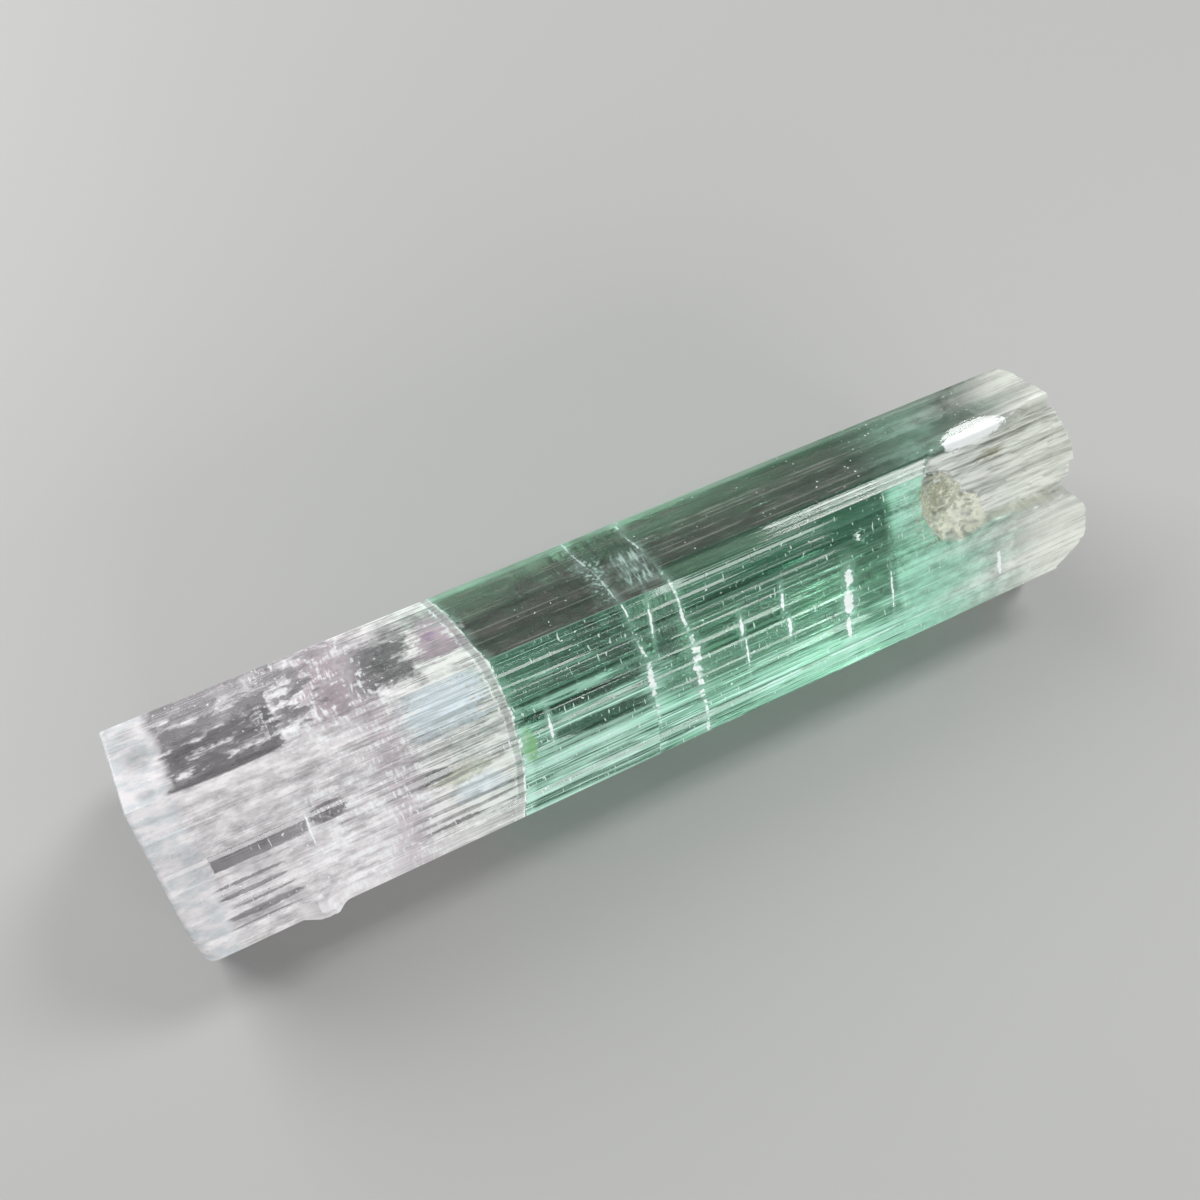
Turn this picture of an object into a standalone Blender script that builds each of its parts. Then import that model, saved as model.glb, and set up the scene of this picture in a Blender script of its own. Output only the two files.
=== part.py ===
"""A two-coloured tourmaline crystal, 40 mm long, lying on one of its prism faces.

Tourmaline grows as a three-sided prism whose corners are cut off: three long striated sides
alternate with three short smooth ones. One end is a flat crystal face. The other is broken,
with a splintery scoop let into the upper front side.

Row frame: metres, +X along the prism towards the broken end, +Z up, the front side towards -Y.
The origin is under the middle of the crystal, on the surface that it lies on.
"""

import math
import random

import bmesh
import bpy
from mathutils import Vector, noise

MM = 0.001

# Driving dimensions of the prism.
LENGTH = 40.0 * MM
LONG_SIDE = 6.95 * MM
SHORT_SIDE = 3.44 * MM
TURN = math.radians(60.0)

# Striations on the long sides: flat lands with V-shaped grooves between them.
GROOVE_LAND = (0.32 * MM, 0.85 * MM)
GROOVE_WIDTH = (0.16 * MM, 0.36 * MM)
GROOVE_DEPTH = (0.03 * MM, 0.09 * MM)
GROOVE_FADE_LENGTH = 7.0 * MM
BED_LAND = 2.6 * MM
WIDEST_STEP = 0.62 * MM
STRIATION_SEED = 12

# A narrow facet on the top side, where it meets the front side, from the middle onwards.
FACET_START = 19.5 * MM
FACET_RUN_IN = 1.5 * MM
FACET_WIDTH = 0.66 * MM
FACET_DEPTH = 0.07 * MM
FACET_FRONT_WIDTH = 0.30 * MM

# The flat end: its rim is rounded, and more so at the lower front corner.
RIM_ROUND = 0.12 * MM
CORNER_ROUND = 0.60 * MM
CORNER_REACH = 0.9 * MM

# A small lump that stands out of the lower front edge near the flat end.
LUMP_START = 4.1 * MM
LUMP_END = 5.5 * MM
LUMP_HEIGHT = 0.38 * MM
LUMP_REACH = 0.75 * MM

# The scoop in the upper front side at the broken end. "Down" is measured over the surface
# from the edge between the top and the front side.
SCOOP_START = 31.6 * MM
SCOOP_OPEN = 33.3 * MM
SCOOP_WALL = 0.7 * MM
SCOOP_TOP = (1.20 * MM, -0.75 * MM)
SCOOP_BOTTOM = (1.30 * MM, 3.50 * MM)
SCOOP_LIP = 0.26 * MM
SCOOP_DEPTH = 0.60 * MM
SPLINTER_HEIGHT = 0.20 * MM
SPLINTER_WIDTH = 0.50 * MM
SPLINTER_LENGTH = 4.5 * MM
TONGUE = (35.4 * MM, 1.1 * MM, 0.30 * MM)  # where the lower lip stands up into the scoop
FLARE = (36.6 * MM, 39.0 * MM, 0.42 * MM)  # where the upper lip draws back, and by how much

# A shallow chip in the top side, along the scoop's upper lip.
CHIP_START = 33.5 * MM
CHIP_END = 36.9 * MM
CHIP_WIDTH = 0.82 * MM
CHIP_DEPTH = 0.13 * MM

# The broken end: how far it reaches, by the distance down from the same edge.
END_REACH = (
    (-3.44, 38.20),
    (-3.00, 38.65),
    (-1.80, 39.10),
    (-1.30, 39.25),
    (-0.80, 39.50),
    (0.00, 39.35),
    (0.60, 39.60),
    (1.30, 39.90),
    (2.20, 40.00),
    (2.80, 39.85),
    (3.60, 39.20),
    (4.30, 39.85),
    (4.70, 40.00),
    (5.80, 39.95),
    (6.20, 39.60),
    (6.85, 38.27),
)
HIDDEN_REACH = (37.9 * MM, 39.1 * MM)
RAGGED_LENGTH = 2.3 * MM
RUN_IN = 1.5 * MM  # how soon the hidden part of the rim turns ragged
BREAK_BLEND = 36.5 * MM
BREAK_PIT = 0.9 * MM
HACKLE_HEIGHT = 0.80 * MM
HACKLE_SIZE = 1.5 * MM
BREAK_RINGS = (0.12, 0.24, 0.36, 0.48, 0.60, 0.74, 0.88)  # shares of the way to the middle
RIM_FADE = 2.5
THINNED_RINGS = (2, 4, 5)  # rings that keep only every second point of the one outside them

# Stations along the prism, in millimetres.
END_STATIONS = (0.0, 0.04, 0.12, 0.28, 0.72)
BODY_STATIONS = (3.6, 4.1, 4.4, 4.8, 5.2, 5.6, 7.5, 11.0, 15.0, 19.5, 21.0, 24.0, 27.0, 30.0)
SCOOP_STATIONS = 20


def smooth_step(low, high, value):
    share = min(max((value - low) / (high - low), 0.0), 1.0)
    return share * share * (3.0 - 2.0 * share)


def hump(centre, reach, value):
    return math.exp(-(((value - centre) / reach) ** 2))


def wander(*where):
    """Smooth noise between -1 and 1."""
    return noise.noise(Vector(where))


def striations(length, chance):
    """Places across one side, as fractions, each with how deep the surface lies there."""
    places, at = [(0.0, 0.0)], chance.uniform(*GROOVE_LAND)
    while at + GROOVE_WIDTH[1] + GROOVE_LAND[0] < length:
        width = chance.uniform(*GROOVE_WIDTH)
        places += [
            (at / length, 0.0),
            ((at + width * chance.uniform(0.3, 0.7)) / length, chance.uniform(*GROOVE_DEPTH)),
            ((at + width) / length, 0.0),
        ]
        at += width + chance.uniform(*GROOVE_LAND)
    return places


def bed_striations(chance):
    """The side that the crystal lies on: as the other long sides, with a broad land in the middle."""
    wing = (LONG_SIDE - BED_LAND) / 2
    near = striations(wing, chance)
    far = [(1.0 - q * wing / LONG_SIDE, d) for q, d in reversed(near[1:])]
    return [(q * wing / LONG_SIDE, d) for q, d in near] + far


def side_places(side, chance):
    """The bends across one side. The long sides have odd numbers, and the short ones are smooth."""
    if side == 3:
        return LONG_SIDE, bed_striations(chance)
    if side % 2:
        return LONG_SIDE, striations(LONG_SIDE, chance)
    if side == 0:
        return SHORT_SIDE, [(0.0, 0.0), (1.0 - FACET_WIDTH / SHORT_SIDE, 0.0)]
    return SHORT_SIDE, [(0.0, 0.0)]


def filled(places, length):
    """The same places, with more between those that lie far apart."""
    finer = []
    for (q, depth), (next_q, next_depth) in zip(places, places[1:] + [(1.0, 0.0)]):
        parts = math.ceil((next_q - q) * length / WIDEST_STEP)
        for part in range(parts):
            share = part / parts
            finer.append((q + (next_q - q) * share, depth + (next_depth - depth) * share))
    return finer


def section():
    """The outline across the prism, clockwise from the top back corner as seen from the flat end.

    Each entry is the point (out, up), the inward normal, the groove's depth and the distance
    down from the edge between the top and the front side."""
    chance = random.Random(STRIATION_SEED)
    outline, corner, walked = [], Vector((0.0, 0.0)), -SHORT_SIDE
    for side in range(6):
        along = Vector((math.cos(-TURN * side), math.sin(-TURN * side)))
        inward = Vector((along.y, -along.x))
        length, places = side_places(side, chance)
        for q, depth in filled(places, length):
            outline.append((corner + along * length * q, inward, depth, walked + length * q))
        corner = corner + along * length
        walked += length
    return outline


def scoop_depth(x, down):
    """How deep the scoop lies under the side's own plane."""
    run = min(max((x - SCOOP_START) / (SCOOP_OPEN - SCOOP_START), 0.0), 1.0)
    opened = 1.0 - (1.0 - run) ** 2
    top = SCOOP_TOP[0] + (SCOOP_TOP[1] - SCOOP_TOP[0]) * opened
    top -= FLARE[2] * smooth_step(FLARE[0], FLARE[1], x)
    bottom = SCOOP_BOTTOM[0] + (SCOOP_BOTTOM[1] - SCOOP_BOTTOM[0]) * opened
    bottom -= TONGUE[2] * hump(TONGUE[0], TONGUE[1], x)
    inside = smooth_step(top - SCOOP_LIP, top + SCOOP_LIP, down)
    inside *= 1.0 - smooth_step(bottom - SCOOP_LIP, bottom + SCOOP_LIP, down)
    inside *= smooth_step(SCOOP_START, SCOOP_START + SCOOP_WALL, x)
    splinters = wander(down / SPLINTER_WIDTH, x / SPLINTER_LENGTH, 0.0)
    return inside * (SCOOP_DEPTH + SPLINTER_HEIGHT * splinters)


def facet_depth(x, down):
    """The narrow facet falls away towards the edge between the top and the front side."""
    if down <= 0.0:
        share = max(1.0 + down / FACET_WIDTH, 0.0)
    else:
        share = max(1.0 - down / FACET_FRONT_WIDTH, 0.0)
    return FACET_DEPTH * share * smooth_step(FACET_START, FACET_START + FACET_RUN_IN, x)


def rim_depth(x, down):
    """The flat end's rounded rim, as a quarter of a circle."""
    radius = RIM_ROUND + (CORNER_ROUND - RIM_ROUND) * hump(LONG_SIDE, CORNER_REACH, down)
    into = max(radius - x, 0.0)
    return radius - math.sqrt(radius * radius - into * into)


def chip_depth(x, down):
    """The chip is a facet that dips towards the scoop, under an arched upper edge."""
    middle, half = (CHIP_START + CHIP_END) / 2, (CHIP_END - CHIP_START) / 2
    arch = CHIP_WIDTH * math.sqrt(max(1.0 - ((x - middle) / half) ** 2, 0.0))
    into = down - (SCOOP_TOP[1] - arch)
    return CHIP_DEPTH * min(max(into / CHIP_WIDTH, 0.0), 1.0) if down < SCOOP_TOP[1] else 0.0


def lump_height(x, down):
    """How far the lump stands out, round the lower front edge."""
    rise = smooth_step(LUMP_START, LUMP_START + 0.3 * MM, x)
    fall = 1.0 - smooth_step(LUMP_END - 0.7 * MM, LUMP_END, x)
    return LUMP_HEIGHT * rise * fall * hump(LONG_SIDE, LUMP_REACH, down)


def groove_share(x, index):
    """A groove comes and goes along the prism."""
    return 0.65 + 0.35 * wander(x / GROOVE_FADE_LENGTH, index * 3.7, 5.0)


def end_reach(down):
    """Where the rim of the broken end lies along the prism."""
    down_mm = down / MM
    for (d0, x0), (d1, x1) in zip(END_REACH, END_REACH[1:]):
        if d0 <= down_mm <= d1:
            return (x0 + (x1 - x0) * (down_mm - d0) / (d1 - d0)) * MM
    middle, half = sum(HIDDEN_REACH) / 2, (HIDDEN_REACH[1] - HIDDEN_REACH[0]) / 2
    broad = wander(down / RAGGED_LENGTH, 8.0, 0.0)
    fine = wander(3.1 * down / RAGGED_LENGTH, 3.0, 0.0)
    ragged = middle + 2.0 * half * (broad + 0.4 * fine)
    front_share = 1.0 - smooth_step(END_REACH[-1][0] * MM, END_REACH[-1][0] * MM + RUN_IN, down)
    back_corner = 3.0 * (LONG_SIDE + SHORT_SIDE) - SHORT_SIDE
    top_share = smooth_step(back_corner - RUN_IN, back_corner, down)
    known = (END_REACH[-1][1] * front_share + END_REACH[0][1] * top_share) * MM
    return known + ragged * (1.0 - front_share - top_share)


def side_ring(outline, x):
    """The points of the prism's surface at one station, by their number in the outline."""
    ring = {}
    for index, (point, inward, depth, down) in enumerate(outline):
        sunk = depth * groove_share(x, index) + rim_depth(x, down) - lump_height(x, down)
        sunk += max(scoop_depth(x, down), chip_depth(x, down), facet_depth(x, down))
        place = point + inward * sunk
        stretch = (end_reach(down) - BREAK_BLEND) / (LENGTH - BREAK_BLEND)
        at = x if x < BREAK_BLEND else BREAK_BLEND + (x - BREAK_BLEND) * stretch
        ring[index] = Vector((at, -place.x, place.y))
    return ring


def middle_of(ring):
    return sum(ring.values(), Vector()) / len(ring)


def break_rings(rim):
    """Rings that close the broken end, each nearer the middle, over a hackly hollowed surface."""
    middle = middle_of(rim)
    kept, rings = list(rim), []
    for number, share in enumerate(BREAK_RINGS):
        if number in THINNED_RINGS:
            kept = kept[::2]
        ring = {}
        for index in kept:
            place = rim[index].lerp(middle, share)
            cell = place / HACKLE_SIZE
            hackle = wander(cell.y, cell.z, 2.0) + 0.5 * wander(2.3 * cell.y, 2.3 * cell.z, 7.0)
            place.x = middle.x + (rim[index].x - middle.x) * (1.0 - share) ** RIM_FADE
            place.x += HACKLE_HEIGHT * hackle * math.sqrt(share) - BREAK_PIT * share * share
            ring[index] = place
        rings.append(ring)
    return rings


def stations():
    body = [station * MM for station in END_STATIONS + BODY_STATIONS]
    first, last = SCOOP_START - 0.3 * MM, LENGTH
    scoop = [first + (last - first) * i / SCOOP_STATIONS for i in range(SCOOP_STATIONS + 1)]
    return body + scoop


def stitch(bm, near, far):
    """Faces between two loops, where far holds all or only some of near's points."""
    numbers, kept = list(near), list(far)
    for this, following in zip(kept, kept[1:] + kept[:1]):
        start = numbers.index(this)
        stop = numbers.index(following) or len(numbers)
        run = [near[number] for number in numbers[start:stop]] + [near[following]]
        for i in range(len(run) - 2):
            bm.faces.new((run[i], run[i + 1], far[this]))
        bm.faces.new((run[-2], run[-1], far[following], far[this]))


def close(bm, loop, middle):
    verts = list(loop.values())
    for this, following in zip(verts, verts[1:] + verts[:1]):
        bm.faces.new((this, following, middle))


def loft(bm, rings):
    """Skins the rings one to the next, and closes both ends onto a middle point."""
    loops = [{number: bm.verts.new(place) for number, place in ring.items()} for ring in rings]
    for near, far in zip(loops, loops[1:]):
        stitch(bm, near, far)
    close(bm, loops[0], bm.verts.new(middle_of(rings[0])))
    close(bm, loops[-1], bm.verts.new(middle_of(rings[-1])))
    bmesh.ops.recalc_face_normals(bm, faces=bm.faces)


def set_down(bm):
    """Moves the crystal so that it rests on z = 0, centred over the origin."""
    low = Vector(min(v.co[i] for v in bm.verts) for i in range(3))
    high = Vector(max(v.co[i] for v in bm.verts) for i in range(3))
    middle = (low + high) / 2
    bmesh.ops.translate(bm, verts=bm.verts, vec=(-middle.x, -middle.y, -low.z))


def tourmaline_material():
    """Pale blue-green, glassy."""
    material = bpy.data.materials.new("tourmaline")
    material.use_nodes = True
    shader = material.node_tree.nodes["Principled BSDF"]
    shader.inputs["Base Color"].default_value = (0.42, 0.72, 0.60, 1.0)
    shader.inputs["Roughness"].default_value = 0.08
    shader.inputs["Metallic"].default_value = 0.0
    shader.inputs["IOR"].default_value = 1.63
    shader.inputs["Transmission Weight"].default_value = 0.9
    return material


def build_crystal(collection):
    outline = section()
    rings = [side_ring(outline, x) for x in stations()]
    rings += break_rings(rings[-1])
    bm = bmesh.new()
    loft(bm, rings)
    set_down(bm)
    mesh = bpy.data.meshes.new("tourmaline_crystal")
    bm.to_mesh(mesh)
    bm.free()
    mesh.materials.append(tourmaline_material())
    crystal = bpy.data.objects.new("tourmaline_crystal", mesh)
    collection.objects.link(crystal)
    return crystal


def main():
    for obj in list(bpy.data.objects):
        bpy.data.objects.remove(obj, do_unlink=True)
    collection = bpy.data.collections.new("tourmaline crystal")
    bpy.context.scene.collection.children.link(collection)
    build_crystal(collection)


main()
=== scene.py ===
"""Dresses a two-coloured tourmaline crystal and sets it on a plain pale table.

The crystal is one clear prism. Its flat end is pale pink and milky, its middle is green and its
broken end is nearly colourless. Inside lie the colour zones and the healed cracks.

Lengths are in millimetres, and turn into metres where a point enters a mesh. A place on the sides
is given by x, along from the flat end, and down, from the ridge between the top and the front.
"""

import math
import random

import bmesh
import bpy
from bpy.props import FloatProperty, FloatVectorProperty, PointerProperty
from bpy.types import Operator, Panel, PropertyGroup
from mathutils import Matrix, Vector, noise


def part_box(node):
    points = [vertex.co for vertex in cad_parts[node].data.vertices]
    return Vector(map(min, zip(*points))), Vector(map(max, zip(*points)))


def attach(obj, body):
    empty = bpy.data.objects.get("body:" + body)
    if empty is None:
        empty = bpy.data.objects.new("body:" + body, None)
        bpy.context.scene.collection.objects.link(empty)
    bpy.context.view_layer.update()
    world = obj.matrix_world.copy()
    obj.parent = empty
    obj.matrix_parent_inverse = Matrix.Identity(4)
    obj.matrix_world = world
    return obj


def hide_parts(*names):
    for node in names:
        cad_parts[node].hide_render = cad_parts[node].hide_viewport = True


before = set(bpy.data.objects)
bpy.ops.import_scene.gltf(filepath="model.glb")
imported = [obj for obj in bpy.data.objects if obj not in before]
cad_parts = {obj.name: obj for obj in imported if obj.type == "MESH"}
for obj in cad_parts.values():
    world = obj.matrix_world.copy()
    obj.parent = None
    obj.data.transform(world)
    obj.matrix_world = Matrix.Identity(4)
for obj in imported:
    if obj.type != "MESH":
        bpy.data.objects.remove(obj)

bl_info = {
    "name": "Tourmaline Crystal",
    "version": (1, 0, 0),
    "blender": (4, 5, 0),
    "location": "View3D > Sidebar > Crystal",
    "description": "Builds a clear two-coloured tourmaline crystal and its stage",
    "category": "Add Mesh",
}

MM = 0.001
NODE = "tourmaline_crystal"
BODY = "root"
LOW, HIGH = [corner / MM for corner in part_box(NODE)]
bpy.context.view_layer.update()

# The prism's section: three short sides, with the top as the first, and three long ones between
# them. Each turns by a sixth of a circle.
TURN = math.radians(60.0)
LONG_SIDE = 6.95
SHORT_SIDE = 3.44
LENGTH = 40.0
ROUND = 3.0 * (LONG_SIDE + SHORT_SIDE)
HALF_WIDTH = (LONG_SIDE + SHORT_SIDE) / 2
HEIGHT = (LONG_SIDE + SHORT_SIDE) * math.sin(TURN)
TOP_SIDE = 0
BED_SIDE = 3

# Layers of smooth noise here and below: their height, their size both ways, and a number of
# their own.
# The broad grooves, as on the solid.
GROOVE_LAND = (0.32, 0.85)
GROOVE_WIDTH = (0.16, 0.36)
GROOVE_MIDDLE = (0.3, 0.7)
GROOVE_DEPTH = (0.03, 0.09)
GROOVE_SHARE = 0.50
GROOVE_FADE = ((0.80, 7.0, 0.3, 5.0),)
BED_LAND = 2.6
STRIATION_SEED = 12

# Fine striations: strips that each tilt a little.
STRIP_WIDTH = (0.10, 0.42)
STRIP_RISE_LONG = 0.024
STRIP_RISE_SHORT = 0.005
STRIP_FADE = ((0.50, 11.0, 0.2, 15.0),)
STRIP_SEED = 31

# A narrow facet on the top side, where it meets the front side, from the middle onwards.
FACET_START = (19.5, 21.0)
FACET_WIDTH = 0.66
FACET_DEPTH = 0.07
FACET_FRONT_WIDTH = 0.30

# The flat end's rounded rim, the lump, the scoop and the chip, as on the solid.
RIM_ROUND = 0.12
CORNER_ROUND = 0.60
CORNER_REACH = 0.9
CORNER_SPREAD = 1.2
LUMP_START = 4.1
LUMP_END = 5.5
LUMP_EDGES = (0.3, 0.7)
LUMP_HEIGHT = 0.38
LUMP_LEVEL = 0.8
LUMP_REACH = 0.75
LUMP_ROUGH = ((0.5, 0.3, 0.3, 0.0),)
SCOOP_START = 31.6
SCOOP_OPEN = 33.3
SCOOP_WALL = 0.7
SCOOP_TOP = (1.20, -0.75)
SCOOP_BOTTOM = (1.30, 3.50)
SCOOP_LIP = 0.16
SCOOP_DEPTH = 0.60
SCOOP_EDGE = ((0.12, 0.9, 1.0, 4.0), (0.06, 0.25, 1.0, 9.0))
SCOOP_BACK = ((0.15, 0.5, 1.0, 1.0),)
SPLINTERS = ((0.20, 0.50, 4.5, 0.0), (0.10, 0.22, 2.6, 3.0), (0.05, 0.11, 1.3, 8.0))
SPLINTER_STEP = 0.06
TONGUE = (35.4, 1.1, 0.30)
FLARE = (36.6, 39.0, 0.42)
CHIP_START = 33.5
CHIP_END = 36.9
CHIP_WIDTH = 0.82
CHIP_DEPTH = 0.13

# Where clay lies in the scoop: its middle along and down, and its reach both ways.
CLAY_MIDDLE = (32.95, 1.95)
CLAY_REACH = (1.25, 1.75)
CLAY_TAIL = (34.1, 2.75, 1.0)
CLAY_EDGE = ((0.35, 0.7, 0.7, 21.0), (0.20, 0.25, 0.25, 22.0))
CLAY_LUMPS = ((0.20, 0.45, 0.45, 23.0), (0.10, 0.16, 0.16, 24.0))
CLAY_SUNK = 0.12

# The broken end, as on the solid: distance down from the ridge, and reach.
END_REACH = (
    (-3.44, 38.20), (-3.00, 38.65), (-1.80, 39.10), (-1.30, 39.25),
    (-0.80, 39.50), (0.00, 39.35), (0.60, 39.60), (1.30, 39.90),
    (2.20, 40.00), (2.80, 39.85), (3.60, 39.20), (4.30, 39.85),
    (4.70, 40.00), (5.80, 39.95), (6.20, 39.60), (6.85, 38.27),
)
HIDDEN_REACH = (37.9, 39.1)
RAGGED_LENGTH = 2.3
RUN_IN = 1.5
BREAK_BLEND = 36.5
NICKS = ((0.10, 0.35, 1.0, 12.0),)
BREAK_PIT = 0.9
HACKLES = ((0.80, 1.5, 1.5, 2.0), (0.40, 1.5 / 2.3, 1.5 / 2.3, 7.0))
GRAIN = ((0.07, 1.5 / 9, 1.5 / 5, 4.0), (0.042, 1.5 / 21, 1.5 / 11, 4.0))
GRAIN_RUN_IN = 6.0
BREAK_RINGS = 30
RIM_FADE = 2.5
THINNED_LOOPS = (8, 16, 23)
CREASE_FIBRE = math.radians(12.0)
CREASE_BREAK = math.radians(28.0)

# How far apart the mesh's points lie: across, across the scoop, and along.
FINE_STEP = 0.11
FIBRE_STEP = 0.06
FIBRE_SPAN = (-1.5, 4.0)
BODY_STEP = 0.6
LUMP_STEP = 0.1
SCOOP_STEP = 0.12
RIM_STATIONS = [0.0, 0.02, 0.06, 0.12, 0.20, 0.32, 0.48, 0.72]

# The bodies across the prism inside it: the middle that they are drawn in towards, the step
# between their points, how far they are drawn in, and their rings.
PLUG_MIDDLE = 0.44
PLUG_STEP = 0.5
ZONE_SHRINK = 0.25
ZONE_RINGS = 12
ZONE_END = ((0.3, 2.0, 2.0, 4.0),)
ZONE_DENSITY = 60.0
CRACK_SHRINK = 0.2
CRACK_RINGS = 8
CRACK_ROUGH = ((1.0, 1.4), (0.3, 0.4))

# Slivers under the surface: from where to where along, down from the ridge, and in depth, how
# many, and half their size along, across and inwards.
SLIVERS = (
    ((5.2, 8.8), (0.2, 6.4), (0.10, 1.2), 60, (0.03, 0.26, 0.12)),
    ((9.0, 12.6), (0.2, 6.4), (0.10, 1.0), 40, (0.05, 0.12, 0.08)),
    ((13.6, 30.0), (0.3, 3.4), (0.10, 1.0), 90, (0.025, 0.12, 0.06)),
    ((13.6, 34.0), (3.4, 6.6), (0.10, 0.8), 50, (0.03, 0.16, 0.08)),
    ((2.0, 11.0), (-3.2, -0.3), (0.10, 1.0), 60, (0.10, 0.05, 0.03)),
    ((12.8, 35.0), (-3.2, -0.2), (0.10, 1.2), 110, (0.05, 0.035, 0.03)),
    ((21.0, 36.0), (21.2, 27.3), (0.10, 1.0), 120, (0.03, 0.12, 0.06)),
    ((2.0, 20.0), (21.2, 27.3), (0.10, 1.0), 110, (0.03, 0.16, 0.08)),
)
SLIVER_SIZE = (0.5, 1.4)
SLIVER_SLANT = (-0.1, 0.1)
SLIVER_SEED = 7

# The finishes.
CRYSTAL_IOR = 1.63
FROST_IOR = 1.5
SLIVER_IOR = 1.4
BUMP_DISTANCE = 0.03

# The stage: the table's half size in metres and its gap, the softboxes (name, place, width and
# height, in metres), and the camera's right and up and its place.
TABLE_HALF = 3.0
TABLE_GAP = 0.02
SOFTBOXES = (
    ("window", (-0.10, 0.16, 0.14), (0.20, 0.14)),
    ("overhead", (0.15, 0.03, 0.21), (0.09, 0.09)),
    ("front", (0.02, -0.25, 0.08), (0.22, 0.10)),
)
CAMERA_WAYS = ((0.88957548, -0.45678821, 0.0), (0.37682775, 0.73385593, 0.56520466))
CAMERA_PLACE = (-13.60, -23.52, 45.56)

# The maps of the two ends: how far along the sides' map each lies, its height, and its stretch.
FLAT_END_MAP = -0.5
BROKEN_END_MAP = 1.5
END_MAP_HEIGHT = 0.75
END_MAP_STRETCH = 2.0


def smooth_step(low, high, value):
    share = min(max((value - low) / (high - low), 0.0), 1.0)
    return share * share * (3.0 - 2.0 * share)


def hump(centre, reach, value):
    return math.exp(-(((value - centre) / reach) ** 2))


def wander(*where):
    """Smooth noise between -1 and 1."""
    return noise.noise(Vector(where))


def rough(first, second, layers):
    """Adds up layers of smooth noise."""
    return sum(high * wander(first / wide, second / long, own) for high, wide, long, own in layers)


# ---------------------------------------------------------------- the prism's surface


class Side:
    """One side of the prism: where it starts, which way it runs, and which way is inwards."""

    def __init__(self, number, corner, walked):
        self.number, self.corner, self.walked = number, corner, walked
        self.long = number % 2 == 1
        self.length = LONG_SIDE if self.long else SHORT_SIDE
        self.along = Vector((math.cos(-TURN * number), math.sin(-TURN * number)))
        self.inward = Vector((self.along.y, -self.along.x))


def six_sides():
    """The sides, clockwise from the top back corner."""
    sides, corner, walked = [], Vector((0.0, 0.0)), -SHORT_SIDE
    for number in range(6):
        side = Side(number, corner, walked)
        sides.append(side)
        corner = corner + side.along * side.length
        walked += side.length
    return sides


SIDES = six_sides()


def in_frame(x, back, up):
    """A point in the frame, in millimetres, from its place along, towards the back and up."""
    return Vector((LOW.x + x, HIGH.y - HALF_WIDTH + back, LOW.z + up))


def on_section(x, place):
    """A point in the frame, from its place along and on the section."""
    return in_frame(x, SHORT_SIDE / 2 - place.x, HEIGHT + place.y)


def striations(length, chance):
    """Places across one side, as fractions, each with how deep the surface lies there."""
    places, at = [(0.0, 0.0)], chance.uniform(*GROOVE_LAND)
    while at + GROOVE_WIDTH[1] + GROOVE_LAND[0] < length:
        width = chance.uniform(*GROOVE_WIDTH)
        places += [
            (at / length, 0.0),
            ((at + width * chance.uniform(*GROOVE_MIDDLE)) / length, chance.uniform(*GROOVE_DEPTH)),
            ((at + width) / length, 0.0),
        ]
        at += width + chance.uniform(*GROOVE_LAND)
    return places


def bed_striations(chance):
    """The side that the crystal lies on has a broad flat land in the middle."""
    wing = (LONG_SIDE - BED_LAND) / 2
    near = striations(wing, chance)
    far = [(1.0 - q * wing / LONG_SIDE, d) for q, d in reversed(near[1:])]
    return [(q * wing / LONG_SIDE, d) for q, d in near] + far


def broad_places(side, chance):
    if side.number == BED_SIDE:
        return bed_striations(chance)
    if side.number == TOP_SIDE:
        return [(0.0, 0.0), (1.0 - FACET_WIDTH / SHORT_SIDE, 0.0)]
    return striations(side.length, chance) if side.long else [(0.0, 0.0)]


def strips(places, side, chance):
    """Adds the fine strips' edges between the broad grooves."""
    rise = STRIP_RISE_LONG if side.long else STRIP_RISE_SHORT
    finer = []
    for (q, depth), (next_q, next_depth) in zip(places, places[1:] + [(1.0, 0.0)]):
        at = q
        while at < next_q - 0.6 * STRIP_WIDTH[0] / side.length:
            share = (at - q) / (next_q - q)
            lift = 0.0 if at == q else chance.uniform(0.0, rise)
            finer.append((at, depth + (next_depth - depth) * share, lift))
            at += chance.uniform(*STRIP_WIDTH) / side.length
    return finer


def filled(places, side):
    """The same places, with more between those that lie apart."""
    finer = []
    for here, following in zip(places, places[1:] + [(1.0, 0.0, 0.0)]):
        near_scoop = FIBRE_SPAN[0] < side.walked + here[0] * side.length < FIBRE_SPAN[1]
        step = FIBRE_STEP if near_scoop else FINE_STEP
        parts = math.ceil((following[0] - here[0]) * side.length / step)
        for part in range(parts):
            finer.append([a + (b - a) * part / parts for a, b in zip(here, following)] + [part])
    return finer


def clay_share(x, down):
    """How much clay covers a place in the scoop, from 0 to 1."""
    along = (x - CLAY_MIDDLE[0]) / CLAY_REACH[0]
    across = (down - CLAY_MIDDLE[1]) / CLAY_REACH[1]
    tail = math.hypot(x - CLAY_TAIL[0], down - CLAY_TAIL[1]) / CLAY_TAIL[2]
    far = min(math.hypot(along, across), tail) + rough(x, down, CLAY_EDGE)
    return 1.0 - smooth_step(0.85, 1.05, far)


def splinters(x, down):
    """The scoop's floor: splinters, and finer fibres on them, all lengthwise."""
    step = wander(down / 0.35, 4.0, 17.0) > wander(x / 1.7, down / 0.3, 19.0)
    return rough(down, x, SPLINTERS) + (SPLINTER_STEP if step else 0.0)


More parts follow.
